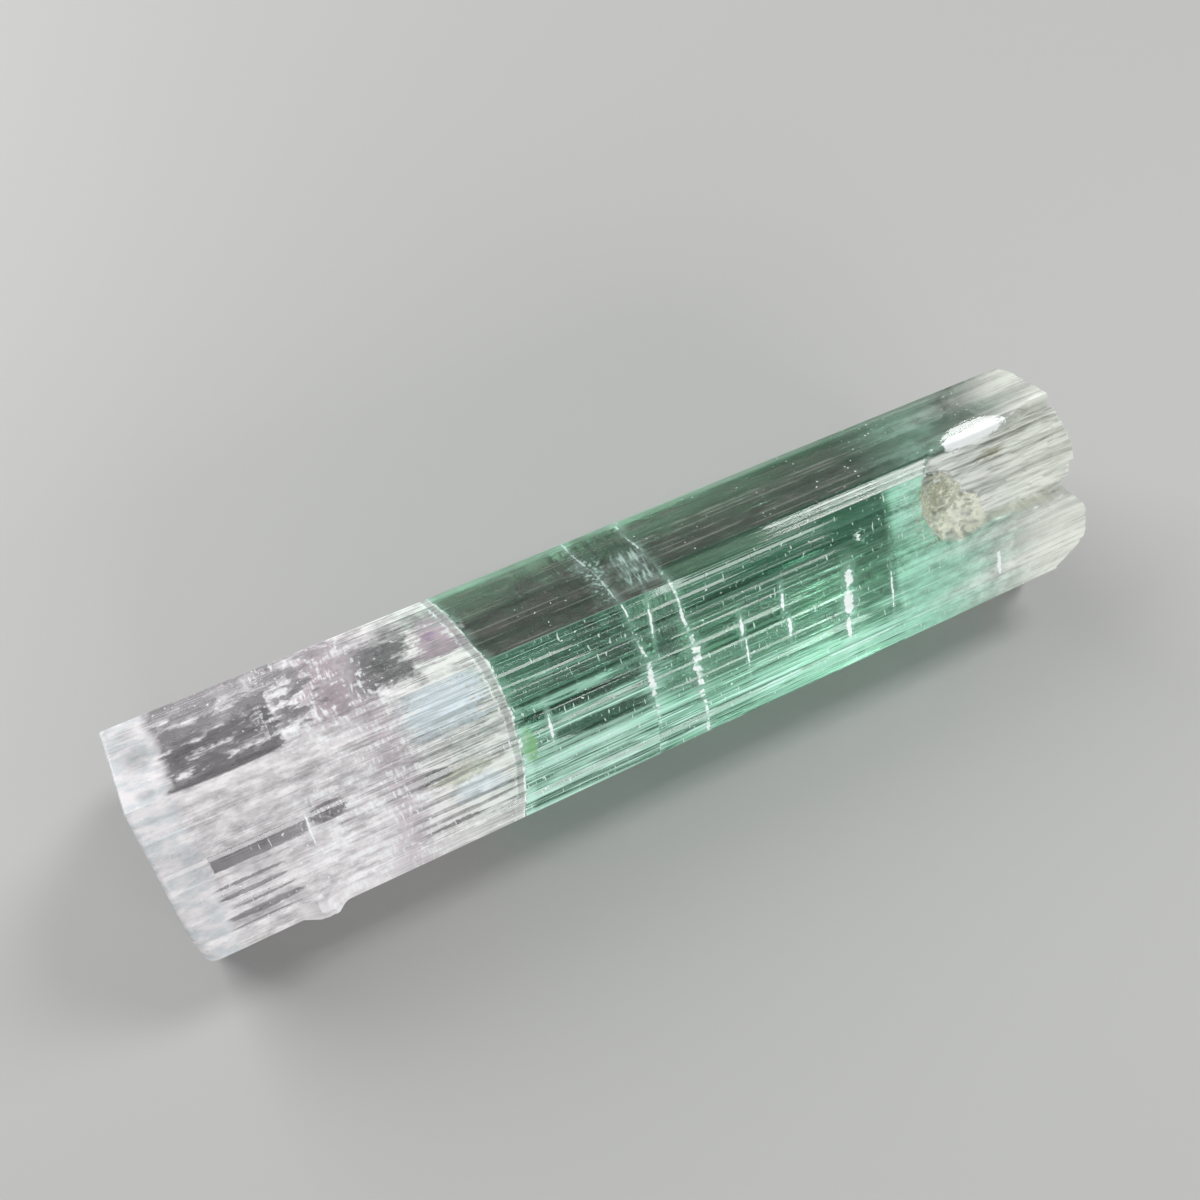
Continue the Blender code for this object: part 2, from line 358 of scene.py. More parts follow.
def scoop_shape(x, down):
    """How far a point is inside the scoop, from 0 to 1, how deep its floor is, and its clay."""
    run = min(max((x - SCOOP_START) / (SCOOP_OPEN - SCOOP_START), 0.0), 1.0)
    opened = 1.0 - (1.0 - run) ** 2
    ragged = rough(x, 2.0, SCOOP_EDGE)
    top = SCOOP_TOP[0] + (SCOOP_TOP[1] - SCOOP_TOP[0]) * opened + 0.4 * ragged
    top -= FLARE[2] * smooth_step(FLARE[0], FLARE[1], x)
    bottom = SCOOP_BOTTOM[0] + (SCOOP_BOTTOM[1] - SCOOP_BOTTOM[0]) * opened + ragged
    bottom -= TONGUE[2] * hump(TONGUE[0], TONGUE[1], x)
    start = SCOOP_START + rough(down, 6.0, SCOOP_BACK)
    inside = smooth_step(top - SCOOP_LIP, top + SCOOP_LIP, down)
    inside *= 1.0 - smooth_step(bottom - SCOOP_LIP, bottom + SCOOP_LIP, down)
    inside *= smooth_step(start, start + SCOOP_WALL, x)
    if inside == 0.0:
        return 0.0, 0.0, 0.0
    clay = clay_share(x, down)
    lumps = rough(x, down, CLAY_LUMPS) - CLAY_SUNK
    floor = SCOOP_DEPTH + splinters(x, down) * (1.0 - clay) + lumps * clay
    return inside, floor, clay * min(1.0, 3.0 * inside)


def facet_depth(x, down):
    """The narrow facet falls away towards the ridge between the top and the front side."""
    width = FACET_WIDTH if down <= 0.0 else FACET_FRONT_WIDTH
    return FACET_DEPTH * max(1.0 - abs(down) / width, 0.0) * smooth_step(*FACET_START, x)


def rim_depth(x, down):
    """The flat end's rounded rim, as a quarter of a circle."""
    radius = RIM_ROUND + (CORNER_ROUND - RIM_ROUND) * hump(LONG_SIDE, CORNER_REACH, down)
    into = max(radius - x, 0.0)
    return radius - math.sqrt(radius * radius - into * into)


def chip_depth(x, down):
    """The chip is a facet that dips towards the scoop, under an arched upper edge."""
    middle, half = (CHIP_START + CHIP_END) / 2, (CHIP_END - CHIP_START) / 2
    arch = CHIP_WIDTH * math.sqrt(max(1.0 - ((x - middle) / half) ** 2, 0.0))
    into = down - (SCOOP_TOP[1] - arch)
    return CHIP_DEPTH * min(max(into / CHIP_WIDTH, 0.0), 1.0) if down < SCOOP_TOP[1] else 0.0


def lump_height(x, down):
    """How far the lump stands out, round the lower front edge."""
    rise = smooth_step(LUMP_START, LUMP_START + LUMP_EDGES[0], x)
    fall = 1.0 - smooth_step(LUMP_END - LUMP_EDGES[1], LUMP_END, x)
    height = LUMP_HEIGHT * LUMP_LEVEL * (1.0 + rough(x, down, LUMP_ROUGH))
    return height * rise * fall * hump(LONG_SIDE, LUMP_REACH, down)


def end_reach(down):
    """Where the rim of the broken end lies along the prism."""
    for (d0, x0), (d1, x1) in zip(END_REACH, END_REACH[1:]):
        if d0 <= down <= d1:
            return x0 + (x1 - x0) * (down - d0) / (d1 - d0)
    middle, width = sum(HIDDEN_REACH) / 2, HIDDEN_REACH[1] - HIDDEN_REACH[0]
    broad = wander(down / RAGGED_LENGTH, 8.0, 0.0)
    fine = wander(3.1 * down / RAGGED_LENGTH, 3.0, 0.0)
    ragged = middle + width * (broad + 0.4 * fine)
    front_share = 1.0 - smooth_step(END_REACH[-1][0], END_REACH[-1][0] + RUN_IN, down)
    back_corner = ROUND - SHORT_SIDE
    top_share = smooth_step(back_corner - RUN_IN, back_corner, down)
    known = END_REACH[-1][1] * front_share + END_REACH[0][1] * top_share
    return known + ragged * (1.0 - front_share - top_share)


class Knot:
    """One line along the prism. It is a bend where two strips or two sides meet."""

    def __init__(self, side, q, groove, strip, part):
        self.side, self.groove, self.strip, self.bend = side, groove, strip, part == 0
        self.place = side.corner + side.along * side.length * q
        self.down = side.walked + side.length * q
        self.from_corner = side.length * (q if q < 0.5 else q - 1.0)

    def sunk_place(self, sunk):
        """Where the line lies when it is sunk. Near a corner it also moves away from the corner,
        so that two sunk sides meet and don't cross."""
        near_corner = max(1.0 - abs(self.from_corner) / CORNER_SPREAD, 0.0)
        shift = max(sunk, 0.0) * math.tan(TURN / 2) * near_corner
        moved = self.side.along * math.copysign(shift, self.from_corner)
        return self.place + self.side.inward * sunk + moved

    def point(self, x):
        """A point on the line, how broken the surface is there, and how much clay lies on it."""
        down = self.down
        inside, floor, clay = scoop_shape(x, down)
        fade = GROOVE_SHARE + rough(x, down, GROOVE_FADE)
        sunk = self.groove * min(max(fade, 0.0), 1.0)
        sunk += self.strip * (0.5 + rough(x, down, STRIP_FADE))
        sunk += rim_depth(x, down) - lump_height(x, down)
        sunk += max(facet_depth(x, down), chip_depth(x, down))
        sunk += inside * (floor - sunk)
        at = x
        if x > BREAK_BLEND:
            reach = end_reach(down) - abs(rough(down, 0.0, NICKS))
            at += (x - BREAK_BLEND) * (reach - LENGTH) / (LENGTH - BREAK_BLEND)
        return on_section(at, self.sunk_place(sunk)), inside, clay


def section():
    """The lines round the prism, clockwise from the top back corner."""
    coarse, fine, knots = random.Random(STRIATION_SEED), random.Random(STRIP_SEED), []
    for side in SIDES:
        places = filled(strips(broad_places(side, coarse), side, fine), side)
        knots += [Knot(side, *place) for place in places]
    return knots


def stations():
    """Where the rings lie along the prism: close together over what changes fast."""
    body = list(RIM_STATIONS)
    while body[-1] < SCOOP_START - BODY_STEP:
        near_lump = LUMP_START - 0.3 < body[-1] < LUMP_END + 0.2
        body.append(body[-1] + (LUMP_STEP if near_lump else BODY_STEP))
    count = math.ceil((LENGTH - body[-1]) / SCOOP_STEP)
    return body + [body[-1] + (LENGTH - body[-1]) * i / count for i in range(1, count + 1)]


class Skin:
    """Collects rings of points into one closed mesh, with a map of where each point lies."""

    def __init__(self):
        self.bm = bmesh.new()
        self.where = self.bm.loops.layers.uv.new("faces")
        self.broken = self.bm.verts.layers.float.new("broken")
        self.clay = self.bm.verts.layers.float.new("clay")
        self.spots = {}
        self.bends = set()
        self.end = None

    def vert(self, place, spot, broken=0.0, clay=0.0):
        vert = self.bm.verts.new(place * MM)
        vert[self.broken] = broken
        vert[self.clay] = clay
        self.spots[vert] = spot
        return vert

    def spot(self, vert):
        """Where a point lies on the map. Each end has a flat map of its own, beyond the sides'."""
        if self.end is None:
            return self.spots[vert]
        place = vert.co / MM
        across = END_MAP_HEIGHT * (place.z - LOW.z) + SHORT_SIDE
        return self.end + END_MAP_STRETCH * place.y / LENGTH, across / ROUND

    def face(self, *verts):
        face = self.bm.faces.new(verts)
        furthest = max(self.spot(vert)[1] for vert in verts)
        for loop in face.loops:
            along, across = self.spot(loop.vert)
            # The last strip runs up to the seam instead of back to the start.
            if furthest - across > 0.5:
                across += 1.0
            loop[self.where].uv = (along, across)

    def stitch(self, near, far):
        """Faces between two loops, where far holds all or only some of near's points."""
        numbers, kept = list(near), list(far)
        for this, following in zip(kept, kept[1:] + kept[:1]):
            start = numbers.index(this) if this else 0
            stop = numbers.index(following) or len(numbers)
            run = [near[number] for number in numbers[start:stop]] + [near[following]]
            for i in range(len(run) - 2):
                self.face(run[i], run[i + 1], far[this])
            self.face(run[-2], run[-1], far[following], far[this])

    def cap(self, loop, along, broken):
        """Closes a loop with a fan of faces."""
        verts = list(loop.values())
        middle = self.vert(middle_of(loop), (along, 0.0), broken)
        for this, following in zip(verts, verts[1:] + verts[:1]):
            self.face(this, following, middle)

    def ring(self, knots, x):
        loop = {}
        for index, knot in enumerate(knots):
            place, broken, clay = knot.point(x)
            spot = (x / LENGTH, (knot.down + SHORT_SIDE) / ROUND)
            loop[index] = self.vert(place, spot, broken, clay)
            if knot.bend and x < SCOOP_START:
                self.bends.add(loop[index])
        return loop

    def break_loops(self, rim):
        """Loops that close the broken end, each nearer the middle, over a hackly hollow."""
        middle, kept, loops = middle_of(rim), list(rim), []
        for number in range(1, BREAK_RINGS):
            share = number / BREAK_RINGS
            if number in THINNED_LOOPS:
                kept = kept[::2]
            loop = {}
            for index in kept:
                outer = rim[index].co / MM
                place = outer.lerp(middle, share)
                place.x = middle.x + (outer.x - middle.x) * (1.0 - share) ** RIM_FADE
                place.x += rough(place.y, place.z, HACKLES) * math.sqrt(share)
                place.x += rough(place.y, place.z, GRAIN) * min(1.0, GRAIN_RUN_IN * share)
                place.x -= BREAK_PIT * share * share
                loop[index] = self.vert(place, (1.0, 0.0), 1.0)
            loops.append(loop)
        return loops

    def shade(self):
        """Bends along the sides stay crisp. The scoop and the break are smooth but for steps."""
        for edge in self.bm.edges:
            if len(edge.link_faces) != 2:
                continue
            near, far = edge.verts
            angle = edge.calc_face_angle(0.0)
            if near in self.bends and far in self.bends:
                level = self.spots[near][0] == self.spots[far][0]
                edge.smooth = level and angle < CREASE_BREAK
            else:
                lengthwise = abs((near.co - far.co).normalized().x) > 0.9
                edge.smooth = angle < (CREASE_FIBRE if lengthwise else CREASE_BREAK)
        for face in self.bm.faces:
            face.smooth = True


def middle_of(loop):
    return sum((vert.co for vert in loop.values()), Vector()) / len(loop) / MM


def outward(bm):
    bmesh.ops.recalc_face_normals(bm, faces=bm.faces)


def finished_mesh(name, bm):
    mesh = bpy.data.meshes.new(name)
    bm.to_mesh(mesh)
    bm.free()
    return mesh


def crystal_mesh(name):
    skin, knots = Skin(), section()
    sides = [skin.ring(knots, x) for x in stations()]
    broken_end = [sides[-1], *skin.break_loops(sides[-1])]
    for end, loops in ((None, sides), (BROKEN_END_MAP, broken_end)):
        skin.end = end
        for near, far in zip(loops, loops[1:]):
            skin.stitch(near, far)
    skin.cap(broken_end[-1], 1.0, 1.0)
    skin.end = FLAT_END_MAP
    skin.cap(sides[0], 0.0, 0.0)
    outward(skin.bm)
    skin.shade()
    return finished_mesh(name, skin.bm)


# ---------------------------------------------------------------- materials


class Wire:
    """A number in a shader: what a node puts out, times scale, plus offset.

    Shader maths is written as plain expressions. Scales and offsets are only noted, and go
    into the next node that needs them, so an expression makes as few nodes as it can."""

    def __init__(self, tree, base, scale=1.0, offset=0.0):
        self.tree, self.base = tree, base
        self.scale, self.offset = scale, offset
        self.made = base if (scale, offset) == (1.0, 0.0) else None

    @property
    def socket(self):
        if self.made is None:
            self.made = self.scaled(False).base
        return self.made

    def plain(self):
        """The same number without its scale and offset."""
        return Wire(self.tree, self.base)

    def noted(self, scale, offset):
        return Wire(self.tree, self.base, scale, offset)

    def node(self, kind, settings=None, inputs=None, output=0):
        node = self.tree.nodes.new(kind)
        for name, value in (settings or {}).items():
            setattr(node, name, value)
        for name, value in (inputs or {}).items():
            if isinstance(value, Wire):
                self.tree.links.new(value.socket, node.inputs[name])
            else:
                node.inputs[name].default_value = value
        return Wire(self.tree, node.outputs[output])

    def maths(self, operation, *values, clamp=False):
        settings = {"operation": operation, "use_clamp": clamp}
        return self.node("ShaderNodeMath", settings, dict(enumerate(values)))

    def scaled(self, clamp):
        """One node that works out the scale and the offset."""
        if self.offset == 0.0:
            return self.maths("MULTIPLY", self.plain(), self.scale, clamp=clamp)
        if self.scale == 1.0:
            return self.maths("ADD", self.plain(), self.offset, clamp=clamp)
        return self.maths("MULTIPLY_ADD", self.plain(), self.scale, self.offset, clamp=clamp)

    def __add__(self, other):
        if not isinstance(other, Wire):
            return self.noted(self.scale, self.offset + other)
        ratio = other.scale / self.scale
        if ratio == 1.0:
            total = self.maths("ADD", self.plain(), other.plain())
        else:
            total = self.maths("MULTIPLY_ADD", other.plain(), ratio, self.plain())
        return total.noted(self.scale, self.offset + other.offset)

    def __mul__(self, other):
        if not isinstance(other, Wire):
            return self.noted(self.scale * other, self.offset * other)
        scale = 1.0
        parts = []
        for part in (self, other):
            if part.offset == 0.0:
                scale *= part.scale
                part = part.plain()
            parts.append(part)
        return self.maths("MULTIPLY", *parts).noted(scale, 0.0)

    def __sub__(self, other):
        return self + other * -1.0

    def __rsub__(self, other):
        return self * -1.0 + other

    def __truediv__(self, other):
        return self * (1.0 / other)

    __radd__, __rmul__ = __add__, __mul__

    def __abs__(self):
        return self.maths("ABSOLUTE", self)

    def up_to(self, other):
        return self.maths("MINIMUM", self, other)

    def at_least(self, *others):
        """The greatest of this number and the others."""
        total = self
        for other in others:
            total = total.maths("MAXIMUM", total, other)
        return total

    def clamped(self):
        return self.scaled(True)

    def above(self, low, steepness):
        """Rises straight from 0 at low up to 1; falls if steepness is below 0."""
        return ((self - low) * steepness).clamped()

    def ramp(self, low, high):
        """Rises smoothly from 0 at low to 1 at high; falls if low is above high."""
        low, high = (low - self.offset) / self.scale, (high - self.offset) / self.scale
        ends = (low, high, 0.0, 1.0) if low <= high else (high, low, 1.0, 0.0)
        inputs = {0: self.plain(), **dict(enumerate(ends, 1))}
        return self.node("ShaderNodeMapRange", {"interpolation_type": "SMOOTHSTEP"}, inputs)

    def between(self, low, high, soft):
        return self.ramp(low - soft, low + soft) * self.ramp(high + soft, high - soft)

    def within(self, reach, soft):
        """1 where this distance is less than reach, with a soft edge."""
        return ((reach - self) / soft + 0.5).clamped()

    def far_from(self, spot):
        """How far this place is from a long round spot's middle: 1 at the spot's edge."""
        t, down, half_length, half_width = spot
        scale = (1.0 / half_length, 1.0 / half_width, 1.0)
        inputs = {0: self, 1: scale, 2: (-t / half_length, -down / half_width, 0.0)}
        local = self.node("ShaderNodeVectorMath", {"operation": "MULTIPLY_ADD"}, inputs)
        return self.node("ShaderNodeVectorMath", {"operation": "LENGTH"}, {0: local}, "Value")

    def far_from_all(self, spots):
        nearest = self.far_from(spots[0])
        for spot in spots[1:]:
            nearest = nearest.up_to(self.far_from(spot))
        return nearest


def blended(mask, first, second):
    """A colour that goes from the first to the second by a mask."""
    settings = {"data_type": "RGBA", "clamp_factor": True}
    first = first if isinstance(first, Wire) else (*first, 1.0)
    second = second if isinstance(second, Wire) else (*second, 1.0)
    return mask.node("ShaderNodeMix", settings, {0: mask, 6: first, 7: second}, 2)


def layered(colour, *layers):
    """A colour under further colours, each laid on by its own mask."""
    for mask, over in layers:
        colour = blended(mask, colour, over)
    return colour


class Finish:
    """A new material, and the places on the crystal that its nodes can ask for."""

    def __init__(self, name):
        self.material = bpy.data.materials.new(name)
        self.material.use_nodes = True
        self.tree = self.material.node_tree
        self.tree.nodes.clear()
        self.start = Wire(self.tree, None)
        self.out = self.tree.nodes.new("ShaderNodeOutputMaterial")

    def node(self, *arguments, **named):
        return self.start.node(*arguments, **named)

    def vector(self, x=0.0, y=0.0, z=0.0):
        return self.node("ShaderNodeCombineXYZ", None, {0: x, 1: y, 2: z})

    def parts(self, vector, count):
        """The first numbers of a vector, each on its own."""
        apart = self.node("ShaderNodeSeparateXYZ", None, {0: vector}).socket.node
        return [Wire(self.tree, apart.outputs[i]) for i in range(count)]

    def place(self):
        """Along, towards the back and up, in millimetres from the flat end on the table."""
        axes = self.parts(self.node("ShaderNodeTexCoord", output="Object"), 3)
        return [axis / MM - start for axis, start in zip(axes, in_frame(0.0, 0.0, 0.0))]

    def face_place(self):
        """Along from the flat end and down from the ridge, in millimetres."""
        along, across = self.parts(self.node("ShaderNodeUVMap", {"uv_map": "faces"}), 2)
        return along * LENGTH, across * ROUND - SHORT_SIDE

    def attribute(self, name):
        return self.node("ShaderNodeAttribute", {"attribute_name": name}, output="Fac")

    def noise(self, where, scale, detail, rough=0.55, dimensions="3D"):
        values = {"Vector": where, "Scale": scale, "Detail": detail, "Roughness": rough}
        return self.node("ShaderNodeTexNoise", {"noise_dimensions": dimensions}, values)

    def flat_noise(self, x, y, detail, rough=0.55):
        return self.noise(self.vector(x, y), 1.0, detail, rough, "2D")

    def principled(self, inputs):
        return self.node("ShaderNodeBsdfPrincipled", None, inputs)

    def mixed(self, mask, first, second):
        return self.node("ShaderNodeMixShader", None, {0: mask, 1: first, 2: second})

    def done(self, surface, volume=None):
        self.tree.links.new(surface.socket, self.out.inputs["Surface"])
        if volume:
            self.tree.links.new(volume.socket, self.out.inputs["Volume"])
        return self.material


# The healed cracks: how far along each is at its furthest, where across the prism (towards the
# back, and up) that is, and how fast it bends away.
MAIN_CRACK = (13.30, -3.5, 6.9, 0.036)
SECOND_CRACK = (18.85, -3.4, 5.8, 0.032)
THIRD_CRACK = (20.90, -4.0, 5.0, 0.020)
CRACKS = (MAIN_CRACK, SECOND_CRACK, THIRD_CRACK)
# How far the surface's pattern jumps at each crack, and how wide the crack's bright line is: at
# its thinnest, and how much more where it bulges.
CRACK_JUMPS = (5.0, 4.3, 3.1)
CRACK_LINES = ((0.05, 0.05), (0.055, 0.09), (0.08, 0.13))
# How thick a crack is, how uneven its faces are, and how bright each crack's film is.
CRACK_THICKNESS = 0.03
CRACK_WOBBLE = 0.06
CRACK_FILMS = (0.95, 0.7, 0.7)
# The green zone: how far beyond the main crack it starts, how uneven its start is, and its end.
GREEN_START = 0.06
GREEN_WOBBLE = 0.02
GREEN_END = 33.0

# Long round spots on the surface: where along, where down, and half their length and width.
# First the short bright cracks across the front side.
TICKS = (
    (14.8, 3.7, 0.07, 0.7), (19.5, 1.2, 0.06, 0.8), (23.2, 3.1, 0.10, 0.5),
    (23.3, 4.3, 0.05, 0.7), (25.1, 2.8, 0.09, 0.5), (25.3, 4.0, 0.10, 0.5),
    (28.2, 3.0, 0.22, 0.5), (28.1, 4.1, 0.26, 0.7), (28.0, 5.2, 0.14, 0.7),
    (30.2, 4.4, 0.05, 1.0), (35.6, 5.4, 0.12, 0.7), (5.4, 3.5, 0.05, 0.9),
)
# Clear streaks in the green, on the front side, darkened with the painted shade of the table seen
# through them.
DARK_STREAKS = (
    (15.7, 0.55, 2.6, 0.75), (16.0, 3.08, 2.5, 0.22), (16.8, 4.20, 1.9, 0.30),
    (24.0, 0.80, 3.4, 0.70), (28.4, 0.75, 1.9, 0.75), (24.0, 3.20, 3.4, 0.09),
    (26.8, 3.90, 1.9, 0.07),
)
# Pale streaks in the green, on the front side.
PALE_STREAKS = (
    (16.2, 1.45, 2.2, 0.13), (15.8, 2.62, 2.0, 0.18), (16.5, 5.10, 2.9, 0.20),
    (25.2, 5.70, 4.6, 0.30), (31.6, 4.80, 3.0, 0.28), (28.0, 6.35, 6.0, 0.16),
)
# Clear streaks near the flat end, darkened with the windows' painted shade.
GREY_STREAKS = (
    (3.0, 4.25, 1.4, 0.07), (2.9, 4.70, 1.4, 0.10), (3.2, 5.15, 1.3, 0.11),
    (3.2, 5.62, 1.3, 0.14), (3.0, 6.08, 1.2, 0.09), (3.4, -0.12, 2.0, 0.15),
    (6.2, 3.10, 0.7, 0.35), (9.8, 3.55, 0.9, 0.30), (10.6, 5.85, 1.6, 0.12),
)
# Dimmer spots in the frosty band at the flat end, and then single spots.
BAND_GAPS = ((0.7, -2.95, 0.4, 0.25), (0.8, -1.85, 0.42, 0.42), (0.8, -0.4, 0.3, 0.2))
UPPER_HAZE = (11.2, 0.9, 1.6, 1.1)
LOWER_HAZE = (11.7, 4.7, 1.2, 0.6)
OLIVE_SPOT = (11.2, 4.0, 1.3, 0.5)
ROSY_SPOT = (11.7, -1.75, 0.95, 0.85)
PLUM_CORE = (11.5, -1.9, 0.42, 0.20)
LEAF_SPOT = (13.85, 4.0, 0.36, 0.85)
CRUMPLE = (28.9, 1.5, 0.45, 0.35)
SUGAR = (31.3, 0.9, 1.0, 1.5)
CRUMBS = (32.3, 1.7, 1.2, 1.6)
# The chip's painted glint.
CHIP_GLINT_SPOT = (35.1, -0.93, 1.5, 0.32)

# Blocks on the surface: from where to where along and down, how soft their edges are, and how far
# those wander.
SLIT = (1.7, 5.6, -2.5, -0.02, 0.16, 0.8)
BESIDE_SLIT = (1.5, 6.4, -3.6, -2.4, 0.3, 0.8)
ROOM = (8.4, 10.7, -2.75, -0.60, 0.3, 1.2)
MOTTLED_ROOM = (5.4, 8.4, -3.3, -0.5, 0.5, 2.0)
BAR = (1.7, 5.2, 2.85, 3.55, 0.05, 0.15)
DIM_ROOM = (1.8, 5.0, 3.8, 6.3, 0.4, 0.5)
ROSY_BLOCK = (6.9, 8.7, -3.3, -0.2, 0.6, 2.4)
SPARKLE = (17.7, 18.6, -2.4, -0.2, 0.3, 0.8)
VEIL = (19.0, 20.3, -2.1, -0.4, 0.3, 0.8)
FACET = (20.3, 45.0, -0.66, 0.4, 0.03, 0.0)
FACET_LINE = (20.3, 34.5, -0.80, -0.68, 0.04, 0.0)
SCOOP_STAIN = (34.9, 36.5, 0.1, 0.8, 0.25, 1.0)
SCOOP_LOWER_LIP = (33.2, 38.9, 2.4, 4.2, 0.3, 0.6)


def crack_reach(crack, back, up):
    """Where a crack crosses, for plain numbers or for wires."""
    reach, back0, up0, bend = crack
    return reach - bend * ((back - back0) * (back - back0) + (up - up0) * (up - up0))


class CrystalFinish(Finish):
    """The crystal's surface: clear and tinted, with milky streaks, healed cracks and clay, and with
    light and shade painted into its colours.

    Places on it are t, along from the flat end, and down, over the surface from the ridge between
    the top and the front side. Masks go from 0 to 1."""

    def __init__(self, colours):
        super().__init__("tourmaline_surface")
        self.colours = colours
        self.along, self.back, self.up = self.place()
        self.t, self.down = self.face_place()
        self.broken = self.attribute("broken")
        self.whole = 1.0 - self.broken
        self.make_noises()
        self.make_streaks()
        self.make_regions()
        self.make_details()
        self.make_clay()

    def make_noises(self):
        """Noises that run lengthwise, have no direction, or run across. Lines stop at a crack."""
        t, down = self.t, self.down
        self.off_cracks = [self.along - crack_reach(crack, self.back, self.up) for crack in CRACKS]
        shift = 0.0
        for off, jump in zip(self.off_cracks, CRACK_JUMPS):
            shift = off.ramp(-0.01, 0.01) * jump + shift
        self.broad = self.flat_noise(t * 0.07 + shift, down * 1.3, 0.0)
        self.streak = self.flat_noise(t * 0.11 + shift, down * 4.2 + 30.0, 3.0, 0.66)
        self.thread = self.flat_noise(t * 0.015 + shift, down * 12.0 + 90.0, 1.0, 0.7)
        self.runs = self.flat_noise(t * 0.50 + shift, down * 5.0 + 20.0, 1.0)
        self.cloud = self.noise(self.vector(self.along, self.back, self.up), 0.55, 1.0)
        lengthwise = self.vector(self.along * 0.9, self.back * 9.0, self.up * 9.0)
        self.fibre = self.noise(lengthwise, 1.0, 0.0)
        self.mottle = self.flat_noise(t * 1.1, down * 2.3 + 50.0, 3.0, 0.65)
        self.speck = self.flat_noise(t * 5.0, down * 7.0 + 60.0, 1.0)
        self.cross = self.flat_noise(t * 8.0, down * 2.0 + 70.0, 1.0)
        self.uneven = self.mottle - 0.5
        self.grain = self.speck - 0.5
        self.drift = self.cloud - 0.5
        self.sway = self.streak - 0.5

    def make_streaks(self):
        """Bands, and crisp straight lines, light and dark, each as long as its run lasts."""
        t, down = self.t, self.down
        crisp = (1.0 - t.ramp(11.0, 6.5) * 0.65) * t.between(0.0, 40.5, 0.05)
        crisp = crisp * (1.0 - t.ramp(29.8, 32.5) * 0.5)
        self.bands = (self.sway * 1.7 + (self.broad - 0.5) * 1.3) * crisp
        self.lines = self.thread.above(0.56, 14.0) * self.runs.above(0.43, 8.0) * crisp
        self.darks = self.thread.above(0.45, -14.0) * self.runs.above(0.57, -8.0) * crisp
        across = down + self.grain * 0.08
        self.spot_place = self.vector(t + self.uneven * 0.5 + down * 0.06, across)
        self.tick_place = self.vector(t + self.uneven * 0.12 + down * 0.06, down)

    def make_regions(self):
        """Where the colours and the sides lie."""
        along, down = self.along, self.down
        self.main = self.off_cracks[0] + self.drift * 0.3
        self.left = self.main.ramp(0.02, -0.02)
        fading = (along + (self.broad - 0.5) * 4.0).ramp(38.0, 31.5)
        self.green = self.main.ramp(-0.02, 0.04) * fading
        self.top = down.ramp(0.02, -0.02)
        self.flank = 1.0 - self.top
        # Towards the bottom of the front: a painted glow of light come through the crystal.
        vivid = along.ramp(18.5, 21.0) * 1.8 - 1.1
        self.low = (self.up + vivid + self.sway * 2.4).ramp(7.2, 3.6)
        self.bed = self.up.ramp(0.6, 0.1)
        facet = self.patch(FACET)
        self.facet = self.top * facet
        self.facet_line = self.patch(FACET_LINE)
        self.far_edge = self.green * down.ramp(-3.05, -3.3) * self.top
        # The top side over the green gets a dark brown tint and film: painted shade for the dark table
        # seen through it, and a painted sheen.
        beyond = self.main.ramp(0.0, 0.1) * along.ramp(34.8, 28.8)
        rim = down.ramp(-3.38, -3.0) * 0.75 + 0.25
        self.top_shade_and_sheen = self.top * beyond * rim * (1.0 - facet)

    def make_details(self):
        """Where single places in the colours lie."""
        ragged_up = self.up + self.sway * 3.4
        ragged_along = self.along + self.sway * 6.0 * self.down.ramp(10.0, 11.0)
        # The upper front of the green is tinted dark: painted shade for the dark table seen through
        # it.
        deep = self.green * self.flank * ragged_along.ramp(30.15, 29.9) * ragged_up.ramp(6.0, 7.4)
        self.deep = deep * (0.9 - self.along.between(18.9, 20.8, 0.2) * 0.5)
        self.grey = self.streaks(GREY_STREAKS)
        self.dark = self.streaks(DARK_STREAKS) * self.green
        self.pale = self.streaks(PALE_STREAKS) * self.green
        self.band = (self.t + self.uneven * 0.7 + self.drift * 0.6).ramp(1.65, 1.30)
        # The chip is painted white: a painted glint where its facet catches the light.
        far = self.tick_place.far_from(CHIP_GLINT_SPOT)
        self.chip = (far + self.uneven + self.grain * 0.3).ramp(1.10, 0.90)
        haze = self.blotch(UPPER_HAZE).at_least(self.blotch(LOWER_HAZE) * 0.7)
        self.haze = haze * self.flank * self.left * self.main.ramp(-0.3, -0.6)
        arc = abs(self.main + 4.5 + self.uneven * 1.6).within(0.6, 0.8)
        arc = arc * self.up.ramp(1.0, 4.0) * 0.7
        self.rosy = self.patch(ROSY_BLOCK).at_least(arc, self.blotch(ROSY_SPOT))
        self.leaf = self.blotch(LEAF_SPOT)

    def make_clay(self):
        """Clay in the scoop, with crumbs to its left."""
        soil = self.attribute("clay")
        ragged = self.uneven * 3.2 + self.grain * 2.4
        clay = (soil * 1.5 - 0.45 + ragged * soil).clamped() * 0.95
        crumbs = self.blotch(CRUMBS) * self.speck.ramp(0.52, 0.64) * self.whole
        self.clay = clay.at_least(crumbs * 0.7)

    def patch(self, block):
        """A block on the surface."""
        near, far, upper, lower, soft, warp = block
        t = self.t + self.uneven * warp
        down = self.down + self.grain * (warp * 0.4)
        return t.between(near, far, soft) * down.between(upper, lower, soft)

    def streaks(self, spots):
        """Long round spots with edges as streaky as the surface."""
        return (self.spot_place.far_from_all(spots) + self.bands * 0.9).ramp(1.25, 0.80)

    def blotch(self, spot):
        """A ragged round spot."""
        far = self.spot_place.far_from(spot)
        return (far + self.uneven * 1.3 + self.grain * 0.9 + self.bands * 0.5).ramp(1.2, 0.65)

